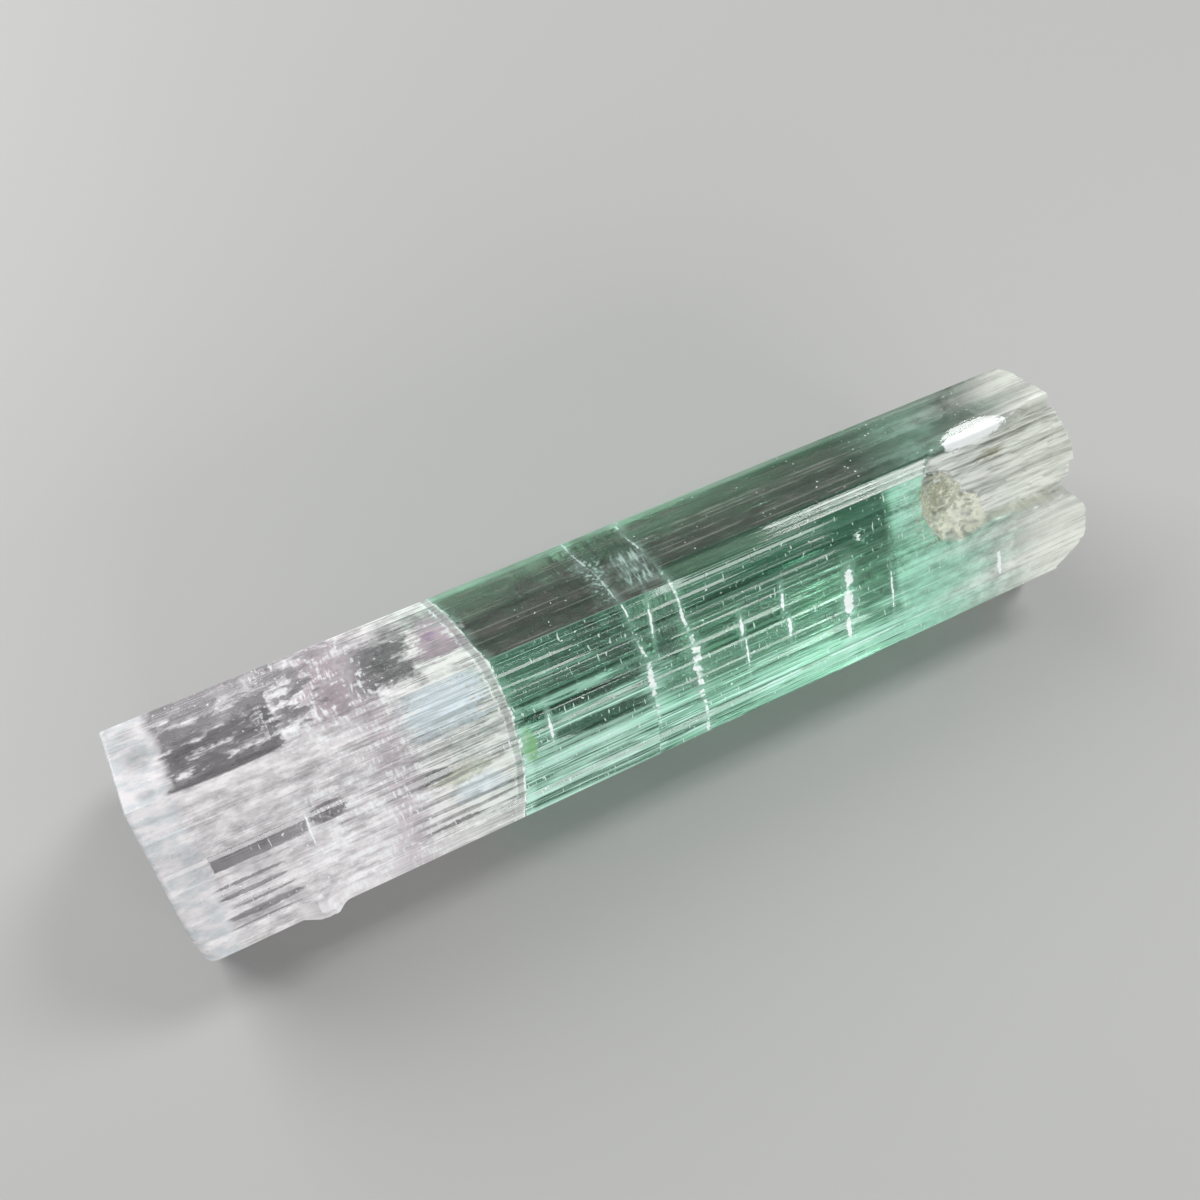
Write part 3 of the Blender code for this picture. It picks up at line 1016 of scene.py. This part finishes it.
    def windows(self):
        """Clear places in the milky end, which the lilac tint darkens: painted shade for the table
        seen through them.
        """
        mottled = self.patch(MOTTLED_ROOM) * self.mottle.ramp(0.58, 0.42) * 0.8
        beside = self.patch(BESIDE_SLIT) * 0.95
        smears = self.mottle.above(0.50, 6.0) * self.streak.above(0.42, 6.0)
        on_top = self.patch(SLIT).at_least(self.patch(ROOM), mottled, beside)
        on_top = on_top * (1.0 - smears * 0.75) * (0.95 + self.bands * 0.8)
        bar = self.patch(BAR) * (1.1 + self.bands * 0.6 + self.t.ramp(3.0, 5.5) * -0.3)
        streaky = self.t.between(8.6, 12.9, 0.5) * self.streak.ramp(0.48, 0.38) * 0.6
        clouds = (self.mottle * 0.4 + self.streak * 0.8 + self.cloud * 0.5).ramp(0.84, 0.74)
        behind = self.flank * self.down.ramp(7.0, 7.2) * clouds * 0.7
        on_flank = bar.at_least(streaky, behind, self.patch(DIM_ROOM) * 0.22)
        everywhere = (on_top * self.top).at_least(on_flank * self.flank, self.grey)
        return everywhere.clamped() * self.left

    def tint(self, windows):
        """The clear crystal's colour. Its lilac, shaded green and top-side tints are painted shade for
        the dark table seen through it, with a painted sheen on the top side too.
        """
        colours = self.colours
        return layered(
            colours.clear,
            (self.left * self.along.ramp(13.0, 8.5), colours.pink),
            (windows, colours.lilac_shade),
            (self.green, colours.green),
            (self.deep.at_least(self.dark, self.green * self.darks * 0.8), colours.shaded_green),
            (self.top_shade_and_sheen, colours.top_shade_and_sheen),
            (self.facet_line.at_least(self.facet * 0.4), colours.shaded_green),
        )

    def milk_amount(self, windows):
        """How milky each place is."""
        along, flank, green = self.along, self.flank, self.green
        bands, lines, darks, uneven = self.bands, self.lines, self.darks, self.uneven
        double = 1.0 - self.main.between(-0.30, -0.05, 0.04) * 0.4
        left = 0.76 + bands * 0.35 + uneven * 1.1 + lines * 0.25 - darks * 0.35
        haze = self.haze * (0.72 + bands * 0.6 + lines * 0.3)
        # A painted highlight along the lower front edge near the flat end.
        edge = self.down.between(6.35, 7.1, 0.12) * self.t.between(3.6, 13.0, 0.3)
        # Over the green, milkier towards the bottom of the front: in part a painted glow.
        low = self.low * (1.0 - self.bed * 0.6)
        veils = low * 0.62 + bands * (0.36 + low * 0.7) + lines * (0.24 + low * 0.5)
        veils = veils - darks * 0.45 - 0.09 + self.main.between(0.05, 0.40, 0.12) * 0.3
        veils = veils + self.pale * 0.4 - self.dark * 0.9
        # The top side's film: a painted sheen.
        film = self.top_shade_and_sheen * (0.34 + bands * 0.35 + uneven * 0.6 + lines * 0.15)
        pale_top = self.top * along.between(29.5, 34.5, 2.5) * (0.36 + bands * 0.5 + uneven * 0.6)
        facet = green * self.facet * (0.12 + bands * 0.3) + self.far_edge * (0.5 + bands * 0.6)
        pale_end = along.ramp(29.9, 30.5) * flank * (0.70 + bands * 0.7 + uneven * 0.9)
        white_end = (along + flank * 1.2).ramp(33.8, 38.8)
        white_end = white_end * (0.74 + flank * 0.12 + bands * 0.7 - darks * 0.3)
        amount = (self.left * left * (1.0 - windows * 0.84) * double).at_least(
            haze,
            edge * (1.0 + bands * 0.5) * self.left,
            green * flank * veils,
            film.at_least(pale_top),
            facet,
            pale_end,
            white_end,
            self.broken * (0.82 + bands * 0.8),
        )
        frosty = 0.84 + uneven * 0.7 + self.drift * 0.8
        amount = amount + (frosty - amount) * self.band
        for spot in BAND_GAPS:
            amount = amount * (1.0 - self.spot_place.far_from(spot).ramp(1.5, 0.4) * 0.3)
        return amount * (1.0 - self.facet_line * 0.8)

    def crack_marks(self):
        """The bright lines where the healed cracks come to the surface."""
        beads = self.mottle.above(0.40, 6.0)
        wiggle = self.drift * 0.5 + self.grain * 0.07
        bulge = self.up.between(4.6, 6.9, 0.9)
        found = []
        for off, (thin, thick) in zip(self.off_cracks, CRACK_LINES):
            far = abs(off + wiggle)
            width = (bulge * thick + thin) * (0.6 + (self.streak - 0.4) * 2.0)
            line = far.within(width, 0.05) * (0.35 + beads * 0.75 - self.top * 0.30)
            found.append(line.at_least(far.within(width * 2.6 + 0.06, 0.34) * 0.35))
        inner = abs(self.main + 0.36 + self.grain * 0.25).within(0.04, 0.07)
        found.append(inner * (0.15 + self.cross.above(0.40, 5.0) * 0.85))
        return found[0].at_least(*found[1:])

    def marks(self):
        """All that is white: the cracks' lines, ticks, veils and specks, and a painted highlight along
        the ridge.
        """
        t, speck, cross = self.t, self.speck, self.cross
        far = self.tick_place.far_from_all(TICKS) + self.grain
        ticks = far.ramp(1.2, 0.6).at_least(far.ramp(3.5, 0.9) * 0.4)
        veil = self.patch(VEIL) * (0.3 + cross.above(0.42, 4.0) * 0.6) * 0.8
        sparkle = self.patch(SPARKLE) * (0.25 + speck.above(0.47, 5.0) * 0.6) * 0.8
        scales = abs(self.drift).within(0.010, 0.015) * 0.35
        cluster = (cross.above(0.47, 8.0) * self.mottle.above(0.44, 8.0)).at_least(scales)
        near_arc = t.between(5.0, 9.2, 0.8).at_least(abs(self.main + 4.1).within(0.7, 0.8))
        crumple = self.blotch(CRUMPLE) * speck.above(0.42, 5.0)
        sugar = self.blotch(SUGAR) * speck.above(0.40, 6.0) * 0.5
        specks = speck.above(0.74, 16.0) * self.cloud.above(0.46, 8.0)
        nicks = cross.above(0.71, 14.0) * self.flank * (self.green * 0.8 + self.left * 0.6)
        # A painted highlight along the ridge between the top and the front.
        ridge = abs(self.down).within(0.02, 0.05) * t.between(12.9, 20.0, 0.3) * 0.6
        step = abs(self.down + 1.22).within(0.03, 0.08) * t.between(36.0, 38.2, 0.4)
        total = self.crack_marks().at_least(
            ticks,
            veil,
            sparkle,
            cluster * self.left * near_arc * 0.8,
            crumple,
            sugar,
            specks,
            nicks,
            ridge.at_least(step),
        )
        return (total * self.whole).clamped()

    def green_colour(self):
        """The milky places' colour in the green, and beyond it. It is paler towards the bottom of the
        front and darker at its top: painted light and shade, for light come through the crystal and
        the table seen through it.
        """
        colours, along = self.colours, self.along
        pale = self.low * 0.9 + self.bands - self.darks * 0.8 + along.ramp(29.9, 30.4)
        pale = pale + self.far_edge * 0.8 + self.uneven * along.ramp(29.9, 31.0) * 1.2
        pale = (pale + self.pale * 0.5 - self.dark * 0.8).clamped()
        threads = self.lines * (0.1 + self.low * 0.9)
        return layered(
            blended(pale, colours.mid_green, colours.mint),
            (threads.at_least(self.low * along.ramp(19.0, 17.0) * 0.6), colours.bright_mint),
            (self.far_edge.at_least(self.facet) * 0.7, colours.scratch),
        )

    def milk_colour(self, marks):
        """The milky places' colour. The top side's film is a painted sheen, and the chip's white a
        painted glint.
        """
        colours = self.colours
        dim = self.bands * 0.9 + self.lines * 0.4 - self.darks * 0.5 + self.uneven * 1.1
        lit = (0.80 + dim * (1.0 - self.band * 0.7)).clamped()
        milk = layered(
            blended(lit, colours.shade, colours.grey_end),
            (self.left * self.along.ramp(12.5, 8.0), blended(lit, colours.shade, colours.milk)),
            (self.haze, colours.ice),
            (self.blotch(OLIVE_SPOT) * self.left * 0.5, colours.olive),
        )
        # The top side's film colour: a painted sheen, with fine lines.
        film = blended(self.lines * 0.6, colours.top_sheen_film, colours.scratch)
        glint = blended(self.green * marks.ramp(1.0, 0.55), colours.white, colours.bright_mint)
        contrast = 3.4 - self.t.ramp(41.0, 42.0) * 2.2
        fibre = (0.76 + self.bands + (self.fibre - 0.5) * contrast).clamped()
        return layered(
            milk,
            (self.band * 0.8, blended(self.mottle.ramp(0.40, 0.60), colours.band, milk)),
            (self.green, self.green_colour()),
            (self.top_shade_and_sheen, film),
            (self.rosy * (0.45 + self.mottle * 0.9), colours.rose),
            (self.blotch(PLUM_CORE) * 0.8, colours.plum),
            (self.leaf * 0.85, colours.leaf),
            (marks, glint),
            (self.broken, blended(fibre, colours.fibre_shade, colours.grey_end)),
            (self.along.ramp(33.5, 38.5) * 0.3, colours.cream),
            # The chip's painted glint.
            (self.chip, colours.white),
            *self.dirt(),
        )

    def dirt(self):
        """A cream edge along the scoop's lower lip, a small brown stain, and the clay."""
        colours, mottle = self.colours, self.mottle
        lip = self.broken * (1.0 - self.broken) * 4.0
        edge = lip * self.patch(SCOOP_LOWER_LIP) * (mottle * 1.6).clamped()
        stain = self.patch(SCOOP_STAIN) * mottle.ramp(0.40, 0.60)
        grains = (mottle - 0.47) * 2.2 + self.grain * 2.4
        creamy = self.down.ramp(1.2, 3.2) * 0.8 + self.along.ramp(32.4, 34.0) * 0.6 - 0.22
        clay = blended((grains + creamy).clamped(), colours.clay, colours.cream)
        return (edge * 0.8, colours.cream), (stain * 0.8, colours.clay), (self.clay, clay)

    def build(self):
        windows, marks = self.windows(), self.marks()
        frost = self.milk_amount(windows).at_least(
            marks,
            self.clay,
            self.chip,
            self.rosy * (0.35 + self.mottle * 0.7),
            self.leaf * 0.85,
        )
        bump = {
            "Strength": 0.25 + self.broken * 0.2,
            "Distance": BUMP_DISTANCE * MM,
            "Height": self.thread * self.whole * 0.7 + self.fibre * self.broken,
        }
        normal = self.node("ShaderNodeBump", None, bump)
        clear = {
            "Base Color": self.tint(windows),
            "Roughness": 0.02 + self.sway.at_least(0.0) * 0.25 + self.broken * 0.45,
            "IOR": CRYSTAL_IOR,
            "Transmission Weight": 1.0,
            "Normal": normal,
        }
        milky = {
            "Base Color": self.milk_colour(marks),
            "Roughness": 0.40 + self.clay * 0.45 + self.broken * 0.1,
            "IOR": FROST_IOR,
            "Transmission Weight": 0.25,
            "Normal": normal,
        }
        return self.done(self.mixed(frost.clamped(), self.principled(clear), self.principled(milky)))


def zone_finish(name, colour, density):
    """Clear all over, with a colour that deepens with the depth looked through."""
    finish = Finish(name)
    clear = {
        "Base Color": (1.0, 1.0, 1.0, 1.0),
        "Roughness": 0.0,
        "IOR": 1.0,
        "Transmission Weight": 1.0,
    }
    inside = finish.node(
        "ShaderNodeVolumeAbsorption", None, {"Color": (*colour, 1.0), "Density": density}
    )
    return finish.done(finish.principled(clear), inside)


def veil_finish(name, colour, amount):
    """A healed crack: see-through, with a bright broken film."""
    finish = Finish(name)
    along, back, up = finish.place()
    cloud = finish.flat_noise(back * 0.9 + along * 3.0, up * 0.9, 2.0, 0.65)
    wisps = finish.flat_noise(back * 3.5, up * 3.5 + along * 9.0, 3.0, 0.65)
    film = ((cloud - 0.42) * 3.0 + (wisps - 0.5) * 2.0).at_least(0.0).up_to(1.0) * amount
    shader = {"Base Color": (*colour, 1.0), "Roughness": 0.35, "IOR": FROST_IOR}
    bright = finish.principled(shader)
    return finish.done(finish.mixed(film, finish.node("ShaderNodeBsdfTransparent"), bright))


def sliver_finish(colours):
    """Bright slivers, some frosty and some glassy."""
    finish = Finish("slivers")
    cloud = finish.noise(finish.vector(*finish.place()), 2.0, 1.0)
    shader = {
        "Base Color": blended(cloud.ramp(0.4, 0.6), colours.white, colours.shade),
        "Roughness": 0.15 + cloud * 0.3,
        "IOR": SLIVER_IOR,
    }
    return finish.done(finish.principled(shader))


# ---------------------------------------------------------------- pieces


def add_object(name, data):
    added = bpy.data.objects.new(name, data)
    bpy.context.scene.collection.objects.link(added)
    return added


def add_piece(name, mesh, material):
    piece = add_object(name, mesh)
    mesh.materials.append(material)
    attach(piece, BODY)
    return piece


def prism_points(shrink):
    """Points round the prism's section, drawn in by shrink, as (back, up)."""
    middle = Vector((0.0, HEIGHT * PLUG_MIDDLE))
    corners, points = [], []
    for side in SIDES:
        corner = Vector((SHORT_SIDE / 2 - side.corner.x, HEIGHT + side.corner.y))
        corners.append(corner + (middle - corner).normalized() * shrink)
    for here, following in zip(corners, corners[1:] + corners[:1]):
        parts = math.ceil((following - here).length / PLUG_STEP)
        points += [here.lerp(following, part / parts) for part in range(parts)]
    return points


def plug_mesh(name, near_reach, far_reach, shrink, rings):
    """A closed body across the prism, between two curved ends."""
    points = prism_points(shrink)
    middle = sum(points, Vector((0.0, 0.0))) / len(points)
    bm, loops, count = bmesh.new(), [], len(points)
    for reach in (near_reach, far_reach):
        end = []
        for ring in range(1, rings + 1):
            spots = [middle.lerp(point, ring / rings) for point in points]
            end.append([bm.verts.new(in_frame(reach(p), p.x, p.y) * MM) for p in spots])
        pole = bm.verts.new(in_frame(reach(middle), middle.x, middle.y) * MM)
        for i in range(count):
            bm.faces.new((end[0][i], end[0][(i + 1) % count], pole))
        loops.append(end)
    chain = loops[0] + loops[1][::-1]
    for here, following in zip(chain, chain[1:]):
        for i in range(count):
            j = (i + 1) % count
            bm.faces.new((here[i], here[j], following[j], following[i]))
    outward(bm)
    return finished_mesh(name, bm)


def zone_end(p):
    return GREEN_END + rough(p.x, p.y, ZONE_END)


def crack_face(crack, beyond, wobble, own):
    """One face of a healed crack, as a function of the place across the prism."""

    def reach(p):
        uneven = sum(high * wander(p.x / size, p.y / size, own) for high, size in CRACK_ROUGH)
        return crack_reach(crack, p.x, p.y) + beyond + wobble * uneven

    return reach


def inner_point(x, down, depth):
    """A point under the flat of a side, and the ways round and into the prism there."""
    side = next(side for side in SIDES[::-1] if side.walked <= down or side is SIDES[0])
    place = side.corner + side.along * (down - side.walked) + side.inward * depth
    ways = [Vector((0.0, -way.x, way.y)) for way in (side.along, side.inward)]
    return on_section(x, place), ways


def add_sliver(bm, middle, axes, chance):
    """A closed sliver with six points, drawn out along its axes."""
    points = []
    for axis in axes:
        for sign in (1.0, -1.0):
            points.append(bm.verts.new((middle + axis * sign * chance.uniform(0.7, 1.3)) * MM))
    near, far, right, left, top, bottom = points
    for here, following in ((near, right), (right, far), (far, left), (left, near)):
        bm.faces.new((here, following, top))
        bm.faces.new((following, here, bottom))


def slivers_mesh(name):
    chance, bm = random.Random(SLIVER_SEED), bmesh.new()
    for along, down, depth, count, half in SLIVERS:
        for _ in range(count):
            spot = [chance.uniform(*span) for span in (along, down, depth)]
            middle, (across, inward) = inner_point(*spot)
            size = chance.uniform(*SLIVER_SIZE) ** 2
            lengthwise = Vector((1.0, 0.0, 0.0)) + across * chance.uniform(*SLIVER_SLANT)
            ways = zip((lengthwise, across, inward), half)
            add_sliver(bm, middle, [way * length * size for way, length in ways], chance)
    outward(bm)
    return finished_mesh(name, bm)


# ---------------------------------------------------------------- settings and operators


def colour(name, description, default):
    return FloatVectorProperty(
        name=name, description=description, subtype="COLOR", size=3, min=0.0, max=1.0, default=default
    )


def level(name, description, default):
    return FloatProperty(name=name, description=description, default=default)


class CrystalColours(PropertyGroup):
    clear: colour("Clear", "Tint of the colourless end", (0.95, 0.95, 0.92))
    pink: colour("Pink", "Tint of the flat end", (0.94, 0.86, 0.91))
    green: colour("Green", "Tint of the middle", (0.56, 0.90, 0.70))
    # Painted shade: a dark green for the table seen through the upper front, the dark streaks and the
    # facet.
    shaded_green: colour("Deep green", "Tint of the upper front of the middle", (0.07, 0.25, 0.17))
    # Painted shade: a dark tint for the table seen through the clear windows.
    lilac_shade: colour("Lilac", "Tint of the dark windows near the flat end", (0.42, 0.39, 0.42))
    # Painted shade and sheen: the top side over the green, darkened and browned, and its film.
    top_shade_and_sheen: colour("Smoke", "Tint of the top side over the green", (0.25, 0.26, 0.20))
    top_sheen_film: colour("Smoke film", "Film on the top side over the green", (0.12, 0.11, 0.10))
    scratch: colour("Scratch", "Fine lines on the top side over the green", (0.32, 0.34, 0.29))
    rose: colour("Rose", "Rosy streaks near the flat end", (0.46, 0.37, 0.42))
    plum: colour("Plum", "The small dark core of the rosy spot", (0.40, 0.28, 0.40))
    olive: colour("Olive", "Faint tint beside the main crack", (0.42, 0.44, 0.26))
    leaf: colour("Leaf", "The small vivid patch beside the main crack", (0.16, 0.44, 0.14))
    milk: colour("Milk", "Veiled places near the flat end", (0.90, 0.87, 0.88))
    shade: colour("Shade", "Dim streaks in the milky places near the flat end", (0.42, 0.39, 0.41))
    # White also paints the chip's glint and the highlight along the ridge.
    white: colour("White", "Cracks, ticks and specks", (0.92, 0.95, 0.95))
    ice: colour("Ice", "Veiled places beside the main crack", (0.78, 0.88, 0.95))
    band: colour("Band", "The frosty band at the flat end", (0.70, 0.75, 0.78))
    # Mint, bright mint and middle green also paint light and shade: paler at the bottom of the front,
    # darker at its top.
    mint: colour("Mint", "Veiled places in the green", (0.34, 0.72, 0.53))
    bright_mint: colour("Bright mint", "Threads in the green", (0.62, 0.90, 0.80))
    mid_green: colour("Middle green", "Veiled places in the upper green", (0.08, 0.34, 0.17))
    grey_end: colour("Grey end", "Veiled places near the broken end", (0.84, 0.87, 0.82))
    fibre_shade: colour("Fibre shade", "Between the scoop's splinters", (0.50, 0.50, 0.47))
    clay: colour("Clay", "Clay in the scoop", (0.31, 0.31, 0.20))
    cream: colour("Cream", "Pale grains in the clay", (0.80, 0.82, 0.67))
    zone: colour("Zone", "Light that the green zone lets through", (0.42, 0.84, 0.64))
    film: colour("Film", "The healed cracks' bright film", (0.88, 0.94, 0.96))


class StageSettings(PropertyGroup):
    floor: colour("Table", "Colour of the table", (0.38, 0.38, 0.37))
    air: colour("Room", "Colour of the room's light", (0.95, 0.98, 1.0))
    key: level("Key light", "Brightness of the softbox behind", 5.5)
    fill: level("Overhead light", "Brightness of the small softbox overhead", 12.0)
    front: level("Front light", "Brightness of the softbox in front", 6.5)
    sky: level("Room light", "Brightness of the room all round", 0.38)


class CRYSTAL_OT_body(Operator):
    """Build the clear prism with its striations, its scoop and its broken end"""

    bl_idname = "crystal.body"
    bl_label = "Crystal"

    def execute(self, context):
        finish = CrystalFinish(context.scene.crystal_colours).build()
        piece = add_piece("crystal", crystal_mesh("crystal"), finish)
        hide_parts(NODE)
        return {"FINISHED"}


class CRYSTAL_OT_zones(Operator):
    """Fill the prism's middle with its green zone"""

    bl_idname = "crystal.zones"
    bl_label = "Colour zones"

    def execute(self, context):
        start = crack_face(MAIN_CRACK, GREEN_START, GREEN_WOBBLE, 1.0)
        mesh = plug_mesh("green_zone", start, zone_end, ZONE_SHRINK, ZONE_RINGS)
        finish = zone_finish("green_zone", context.scene.crystal_colours.zone, ZONE_DENSITY)
        add_piece("green_zone", mesh, finish)
        return {"FINISHED"}


class CRYSTAL_OT_cracks(Operator):
    """Lay the healed cracks across the prism"""

    bl_idname = "crystal.cracks"
    bl_label = "Healed cracks"

    def execute(self, context):
        for number, (crack, amount) in enumerate(zip(CRACKS, CRACK_FILMS), 1):
            name = f"healed_crack_{number}"
            faces = [crack_face(crack, far, CRACK_WOBBLE, number) for far in (0.0, CRACK_THICKNESS)]
            mesh = plug_mesh(name, *faces, CRACK_SHRINK, CRACK_RINGS)
            add_piece(name, mesh, veil_finish(name, context.scene.crystal_colours.film, amount))
        return {"FINISHED"}


class CRYSTAL_OT_slivers(Operator):
    """Scatter bright slivers under the surface"""

    bl_idname = "crystal.slivers"
    bl_label = "Slivers"

    def execute(self, context):
        finish = sliver_finish(context.scene.crystal_colours)
        add_piece("slivers", slivers_mesh("slivers"), finish)
        return {"FINISHED"}


class CRYSTAL_OT_stage(Operator):
    """Set the table, the lights and the camera"""

    bl_idname = "crystal.stage"
    bl_label = "Stage"

    def execute(self, context):
        settings = context.scene.crystal_stage
        add_table(settings)
        add_lights(settings)
        add_camera()
        return {"FINISHED"}


def add_table(settings):
    bm = bmesh.new()
    bmesh.ops.create_grid(bm, x_segments=1, y_segments=1, size=TABLE_HALF)
    table = add_object("table", finished_mesh("table", bm))
    table.location.z = (LOW.z - TABLE_GAP) * MM
    finish = Finish("table")
    shader = finish.principled({"Base Color": (*settings.floor, 1.0), "Roughness": 0.6})
    table.data.materials.append(finish.done(shader))


def add_softbox(name, place, size, radiance):
    """An area light that faces the crystal's middle."""
    light = bpy.data.lights.new(name, "AREA")
    light.shape = "RECTANGLE"
    light.size, light.size_y = size
    light.energy = radiance * size[0] * size[1] * math.pi
    lamp = add_object(name, light)
    lamp.location = place
    target = (LOW + HIGH) / 2 * MM
    lamp.rotation_euler = (target - Vector(place)).to_track_quat("-Z", "Y").to_euler()


def add_lights(settings):
    for (name, place, size), radiance in zip(SOFTBOXES, (settings.key, settings.fill, settings.front)):
        add_softbox(name, place, size, radiance)
    world = bpy.data.worlds.new("room")
    world.use_nodes = True
    background = world.node_tree.nodes["Background"]
    background.inputs["Color"].default_value = (*settings.air, 1.0)
    background.inputs["Strength"].default_value = settings.sky
    bpy.context.scene.world = world
    bpy.context.scene.view_settings.view_transform = "Standard"


def add_camera():
    camera = add_object("camera", bpy.data.cameras.new("camera"))
    camera.data.sensor_width = 36.0
    camera.data.lens = 36.06
    camera.data.clip_start = 0.001
    right, up = [Vector(way) for way in CAMERA_WAYS]
    turn = Matrix((right, up, right.cross(up))).transposed().to_4x4()
    x, back, height = CAMERA_PLACE
    # The camera's place is known from the prism's own middle, not from the lump's side of the box.
    place = Vector((x, HIGH.y - HALF_WIDTH + back, height)) * MM
    camera.matrix_world = Matrix.Translation(place) @ turn
    bpy.context.scene.camera = camera


class CRYSTAL_PT_sidebar(Panel):
    """Lists the steps"""

    bl_label = "Tourmaline crystal"
    bl_space_type = "VIEW_3D"
    bl_region_type = "UI"
    bl_category = "Crystal"

    def draw(self, context):
        for operator in OPERATORS:
            self.layout.operator(operator.bl_idname)


OPERATORS = (
    CRYSTAL_OT_body,
    CRYSTAL_OT_zones,
    CRYSTAL_OT_cracks,
    CRYSTAL_OT_slivers,
    CRYSTAL_OT_stage,
)
CLASSES = (CrystalColours, StageSettings, *OPERATORS, CRYSTAL_PT_sidebar)


def register():
    for cls in CLASSES:
        bpy.utils.register_class(cls)
    bpy.types.Scene.crystal_colours = PointerProperty(type=CrystalColours)
    bpy.types.Scene.crystal_stage = PointerProperty(type=StageSettings)


def unregister():
    del bpy.types.Scene.crystal_stage
    del bpy.types.Scene.crystal_colours
    for cls in reversed(CLASSES):
        bpy.utils.unregister_class(cls)


def main():
    register()
    scene = bpy.context.scene
    scene.cycles.max_bounces = 12
    scene.cycles.transmission_bounces = 12
    scene.cycles.transparent_max_bounces = 16
    scene.cycles.diffuse_bounces = 1
    bpy.ops.crystal.body()
    bpy.ops.crystal.zones()
    bpy.ops.crystal.cracks()
    bpy.ops.crystal.slivers()
    bpy.ops.crystal.stage()


if __name__ == "__main__":
    main()
